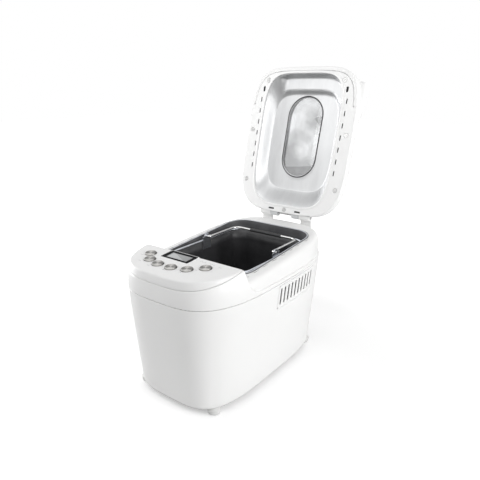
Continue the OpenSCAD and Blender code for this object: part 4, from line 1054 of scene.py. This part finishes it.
shellSkin = fieldSkin(lidShellField, steps((-122, 122, 2.0)), steps((-3, 278, 2.0)),
                      steps((-1, 3.8, 0.8), (3.8, 47, 1.6)))
addSkin("lidShell", shellSkin, placeOnLid, "lid", "lid_plastic", white["lid"], replace=("lid_shell",), flip=True)

screwSpots = ((81, 252), (-81, 252), (103, 157), (-103, 157), (101, 58), (-101, 58), (0, 7.5))
inside = {"edge": 2.8, "step": 7.8, "half": 1.1, "slotX": 92.0, "slotFirst": 88.0, "slotPitch": 21.3,
          "slotCount": 7, "screwR": 4.3, "screwDeep": 1.2}


def lidFrameField(x, s, n):
    edge = lidDistance(x, s)
    rim = np.maximum(edge + inside["edge"], smoothMin(edge + inside["step"], s - lid["stepS"], 0.6))
    plan = np.maximum(rim, -mouthDistance(x, s))
    near = nearest(s, inside["slotFirst"], inside["slotPitch"], inside["slotCount"])
    slots = roundedDistance(np.abs(x) - inside["slotX"], s - near, 1.2, 4.5, 0.7)
    slots = np.minimum(slots, stadiumDistance(np.abs(x) - 89.0, s - 236.0, 5.0, 10.0))
    slots = np.minimum(slots, roundedDistance(np.abs(x) - 30.0, s - 7.0, 6.5, 1.6, 0.8))
    solid = smoothMax(plan, np.abs(n - inside["half"]) - inside["half"], 1.1)
    for px, ps in screwSpots:
        seat = np.maximum(np.hypot(x - px, s - ps) - inside["screwR"], n - inside["screwDeep"])
        solid = np.maximum(solid, -seat)
    return smoothMax(solid, -slots, 0.5)


acrossLid = steps((-116, -96, 1.6), (-96, -86, 0.6), (-86, -36, 1.6), (-36, 36, 1.6), (36, 86, 1.6), (86, 96, 0.6),
                  (96, 116, 1.6))
alongLid = steps((-2, 12, 0.8), (12, 82, 1.5), (82, 242, 1.25), (242, 276, 1.5))
frameSkin = fieldSkin(lidFrameField, acrossLid, alongLid, steps((-0.5, 2.9, 0.48)))
addSkin("lidFrame", frameSkin, placeOnLid, "lid", "frame_plastic", white["frame"], replace=("lid_frame",),
        flip=True)

ringTurns = [2 * math.pi * (k + 0.5) / 160 for k in range(160)]


def trayRing(halfX, front, rear):
    # the mouth's outline at another size
    ring = []
    for a in ringTurns:
        c, s = math.cos(a), math.sin(a)
        power = mouth["frontPower"] if s > 0 else mouth["rearPower"]
        r = (abs(c) ** power + abs(s) ** power) ** (-1 / power)
        ring.append((halfX * r * c, (front + rear) / 2 + (front - rear) / 2 * r * s))
    return np.array(ring)


def pillTray(halfX, length, middle):
    # a pill's outline with its points on the same rays as the mouth's
    ring, straight = [], length / 2 - halfX
    for a in ringTurns:
        x, y = math.cos(a), math.sin(a)
        t = halfX / max(abs(x), 1e-9)
        if t * abs(y) > straight:
            # the ray meets the round end
            b = -abs(y) * straight
            t = -b + math.sqrt(max(b * b - (straight ** 2 - halfX ** 2), 0))
        ring.append((t * x, middle + t * y))
    return np.array(ring)


def mouthRing(out):
    return trayRing(mouth["halfX"] + out, mouth["front"] + out, mouth["rear"] - out)


def atHeight(ring, height):
    return [tuple(p) for p in np.column_stack((ring, np.zeros(len(ring)) + height))]


def ease(t):
    t = np.clip(t, 0, 1)
    return t * t * (3 - 2 * t)


mouthBead = ((-0.35, 0.9), (-0.35, -0.05), (-0.1, -0.4), (0.5, -0.62), (2.4, -0.62), (3.1, -0.45), (3.5, -0.1),
             (3.5, 0.4))
points, faces = loft([atHeight(mouthRing(out), height) for out, height in mouthBead], "loop")
outwards(addMesh("mouthLip", placeOnLid(points), faces, "lid", "frame_plastic", white["frame"]))

reflector = {"lip": 2.45, "fall": 22.8, "shelf": 13.5, "shelfEnd": 0.2, "shelfFall": 1.2, "lastFall": 8.1,
             "lastStart": 0.72, "floor": 25.25, "sheet": 0.7, "floorX": 70.0, "floorFront": 230.0,
             "floorRear": 48.0, "holeX": 36.0, "holeL": 149.0}
top, low = mouthRing(0.3), trayRing(reflector["floorX"], reflector["floorFront"], reflector["floorRear"])
hole = pillTray(reflector["holeX"], reflector["holeL"], lid["windowS"])
rings = [atHeight(top + (top - low) * v * 2.6, reflector["lip"]) for v in (0.06, 0.03, 0.0)]
for v in np.linspace(0.0, 1.0, 26)[1:]:
    # the walls run straight down, but the front one has a shelf with rounded steps
    ring = top * (1 - v) + low * v
    straight = reflector["lip"] + reflector["fall"] * (0.72 * v + 0.28 * ease(v))
    if v < reflector["shelfEnd"]:
        stepped = reflector["lip"] + reflector["shelf"] * ease(v / reflector["shelfEnd"])
    else:
        past = reflector["shelfFall"] * (v - reflector["shelfEnd"]) / (1 - reflector["shelfEnd"])
        last = reflector["lastFall"] * ease((v - reflector["lastStart"]) / (1 - reflector["lastStart"]))
        stepped = reflector["lip"] + reflector["shelf"] + past + last
    weight = ease((ring[:, 1] - 205.0) / 22.0) * ease((ring[:, 0] + 60.0) / 14.0)
    rings.append(atHeight(ring, straight * (1 - weight) + stepped * weight))
for v in (0.03, 0.08, 0.2, 0.4, 0.6, 0.8, 0.93, 0.98):
    dip = 0.25 * ease(v * 6) - 0.9 * ease((v - 0.8) / 0.18)
    rings.append(atHeight(low * (1 - v) + hole * v, reflector["floor"] + dip))
rings += [atHeight(hole, height) for height in (24.9, 25.9)]
points, faces = loft(rings)
tray = addMesh("lidReflector", placeOnLid(points), faces, "lid", "reflector_metal", steel["reflector"],
               ("lid_reflector",))
addWall(outwards(tray, 1e-7), "sheet", reflector["sheet"], 0)
print("reflector built")

# dark strips that close the slots in the lid's frame and in the deck from behind, painted shade in place of the
# dark inside:
# name, (x, y, width, length, corner), low, high, bevel, and what the strip is placed on, rides and has for a slot
onLid, onDeck = (placeOnLid, "lid", "frame_plastic"), (placeOnDeck, "machine", "inlet_plastic")
shades = (("lidSlotShade", (91.0, 163.0, 10.0, 168.0, 2.0), 2.75, 3.5, 0.2, onLid),
          ("deckSlotShade", (upper["slotX"], 111.0, 5.0, 206.0, 2.0), -5.9, -5.2, 0.2, onDeck),
          ("lidHingeShade", (30.0, 7.0, 12.8, 3.4, 0.9), 0.9, 1.6, 0.15, onLid))
for side, label in ((1, "Right"), (-1, "Left")):
    for name, (x, *strip), low, high, bevel, facts in shades:
        plate(name + label, boxRing(side * x, *strip), [], low, high, *facts, white["inlet"], bevel)


def pillBand(name, outerW, innerW, length, low, high, material, slot, replace=(), bevel=0.4):
    # a pill-shaped band round the window, or a pane where there is no inner width
    outer = pillRing(lid["windowS"], outerW, length)
    holes = [pillRing(lid["windowS"], innerW, length - (outerW - innerW))] if innerW else []
    plate(name, outer, holes, low, high, placeOnLid, "lid", slot, material, bevel, replace)


pillBand("windowSeal", 77.0, 72.2, 156.0, 23.4, 27.0, gasketRubber, "gasket_rubber", bevel=1.1)
pillBand("windowTunnel", 85.0, 78.4, 164.0, 26.4, 43.0, white["hinge"], "gasket_rubber", ("window_gasket",))
pillBand("innerPane", 78.0, 0, 157.0, 26.3, 29.2, clearGlass, "window_glass", ("inner_window",), 0.5)
pillBand("outerPane", 78.0, 0, 157.0, 43.0, 45.9, smokedGlass, "window_glass", ("outer_window",), 0.8)


def screwTree(material):
    # pan-head screws with a cross recess, one on each seat
    tree, sockets, source = openTree("screwSet", ("Head", "NodeSocketFloat"), ("Rise", "NodeSocketFloat"))
    head = geoNode(tree, "GeometryNodeMeshCylinder", {},
                   {"Vertices": 32, "Radius": source["Head"], "Depth": source["Rise"], "Fill Segments": 3})
    cross = geoNode(tree, "GeometryNodeJoinGeometry")
    for bar in ((1.1, 4.6, 0.9), (4.6, 1.1, 0.9)):
        tree.links.new(geoNode(tree, "GeometryNodeMeshCube", {}, {"Size": bar}), cross.node.inputs[0])
    drop = geoNode(tree, "GeometryNodeTransform", {}, {"Geometry": cross, "Translation": (0, 0, -0.5)})
    cut = geoNode(tree, "GeometryNodeMeshBoolean", {"operation": "DIFFERENCE"}, {"Mesh 1": head, "Mesh 2": drop})
    closeTree(tree, source["Points"], cut, material)
    return tree, sockets


baseScrewSpots = ((76, -123), (-76, -123), (76, 121), (-76, 121))
screws = screwTree(steel["screw"])
addBaked("lidScrews", screws, {"Head": 3.9, "Rise": 0.9}, [(x, s, 0.65) for x, s in screwSpots], placeOnLid,
         "lid", steel["screw"], ("lid_screws",))
addBaked("baseScrews", screws, {"Head": 3.3, "Rise": 1.6}, [(x, y, 9.0) for x, y in baseScrewSpots],
         place, "machine", steel["screw"], ("housing_screws",))
print("screws built")

# the plain nodes keep their own solids and get their finish
finishes = (
    (white["base"], "base_plate"), (white["inlet"], "mains_inlet"), (white["hinge"], "lid_hinge_block"),
    (white["nylon"], "drive_pulley", "motor_fan"), (circuitGreen, "control_board"), (circuitBrown, "power_board"),
    (beltRubber, "drive_belt"), (steel["screw"], "board_screws"), (steel["element"], "heating_element"),
    (steel["motor"], "motor"), (steel["brass"], "shaft_bush", "pan_bush"),
    (steel["rim"], "pan_ears", "pan_base_ring"),
    (steel["sheet"], "chassis", "element_supports", "pan_socket"),
    (steel["turned"], "thermostat_probe", "drive_shaft", "drive_dog", "motor_rotor", "motor_pulley", "pan_spindle",
     "pan_dog", "hinge_pin"),
)
for finish, *plain in finishes:
    for node in plain:
        nodes[node].data.materials.clear()
        nodes[node].data.materials.append(finish)

# the floor glows a little towards the camera and through the glass, more so away from the middle, so the dimmer
# floor round the machine is a painted shadow
b = Board("studioFloor")
where = b.coords()
grey = b.mix(b.noise(where, 3.0, 2.0), (0.8, 0.8, 0.8), (0.82, 0.82, 0.82))
paint = b.node("ShaderNodeBsdfDiffuse", {}, {"Color": grey})
away = b.node("ShaderNodeVectorMath", {"operation": "LENGTH"}, {0: where}, out=1)
glow = b.node("ShaderNodeEmission", {}, {"Color": b.range(away, 0.34, 1.0, 0.3, 0.8), "Strength": 11.0})
seen = b.seenBy("Is Camera Ray", "Is Transmission Ray")
floorMesh = bpy.data.meshes.new("studioFloor")
floorMesh.from_pydata([(-6, -6, -0.0004), (6, -6, -0.0004), (6, 6, -0.0004), (-6, 6, -0.0004)], [], [(0, 1, 2, 3)])
floorMesh.materials.append(b.close(b.node("ShaderNodeMixShader", {}, {0: seen * 0.1, 1: paint, 2: glow})))
addObject("studioFloor", floorMesh)

scene.world = bpy.data.worlds.new("studio")
air = Board(scene.world, "ShaderNodeOutputWorld")
dim = air.node("ShaderNodeBackground", {}, {"Color": (1, 1, 1), "Strength": 0.5})
bright = air.node("ShaderNodeBackground", {}, {"Color": (1, 1, 1), "Strength": 1.0})
seen = air.seenBy("Is Camera Ray", "Is Transmission Ray", "Is Glossy Ray")
air.close(air.node("ShaderNodeMixShader", {}, {0: seen, 1: dim, 2: bright}))

# name, place, aim, size and power
lamps = (("sideBox", (1.7, 0.1, 0.55), (0, 0, 0.15), 1.3, 19.0),
         ("topBox", (0.35, -0.5, 1.8), (0, 0.1, 0.2), 1.3, 1.8),
         ("lidBox", (-0.1, -0.32, 0.8), (0, 0.25, 0.55), 0.6, 1.15),
         ("leftBox", (-1.4, -0.3, 0.4), (0, 0, 0.15), 0.9, 13.0))
for name, spot, aim, size, power in lamps:
    lamp = bpy.data.lights.new(name, "AREA")
    lamp.size = size
    lamp.energy = power
    holder = addObject(name, lamp)
    holder.location = spot
    holder.visible_camera = False
    holder.rotation_euler = (Vector(aim) - Vector(spot)).to_track_quat("-Z", "Y").to_euler()

view = {"turn": 37.6, "rise": 23.7, "roll": -0.1, "reach": 0.8574, "focal": 468.1, "midX": 231.4, "midY": 287.9,
        "aim": (0.0, shiftY, 0.150), "pixels": 480, "sensor": 36.0}
a, e = math.radians(view["turn"]), math.radians(view["rise"])
back = Vector((math.sin(a) * math.cos(e), -math.cos(a) * math.cos(e), math.sin(e)))
right = Vector((math.cos(a), math.sin(a), 0))
roll = Matrix.Rotation(math.radians(view["roll"]), 4, "Z")
turn = Matrix((right, back.cross(right), back)).transposed().to_4x4() @ roll
camera = bpy.data.cameras.new("camera")
camera.sensor_width = view["sensor"]
camera.lens = view["focal"] / view["pixels"] * view["sensor"]
camera.shift_x = (view["pixels"] / 2 - view["midX"]) / view["pixels"]
camera.shift_y = (view["midY"] - view["pixels"] / 2) / view["pixels"]
camera.clip_start = 0.01
camera.clip_end = 50
scene.camera = addObject("camera", camera)
scene.camera.matrix_world = Matrix.Translation(Vector(view["aim"]) + back * view["reach"]) @ turn
scene.view_settings.view_transform = "Standard"
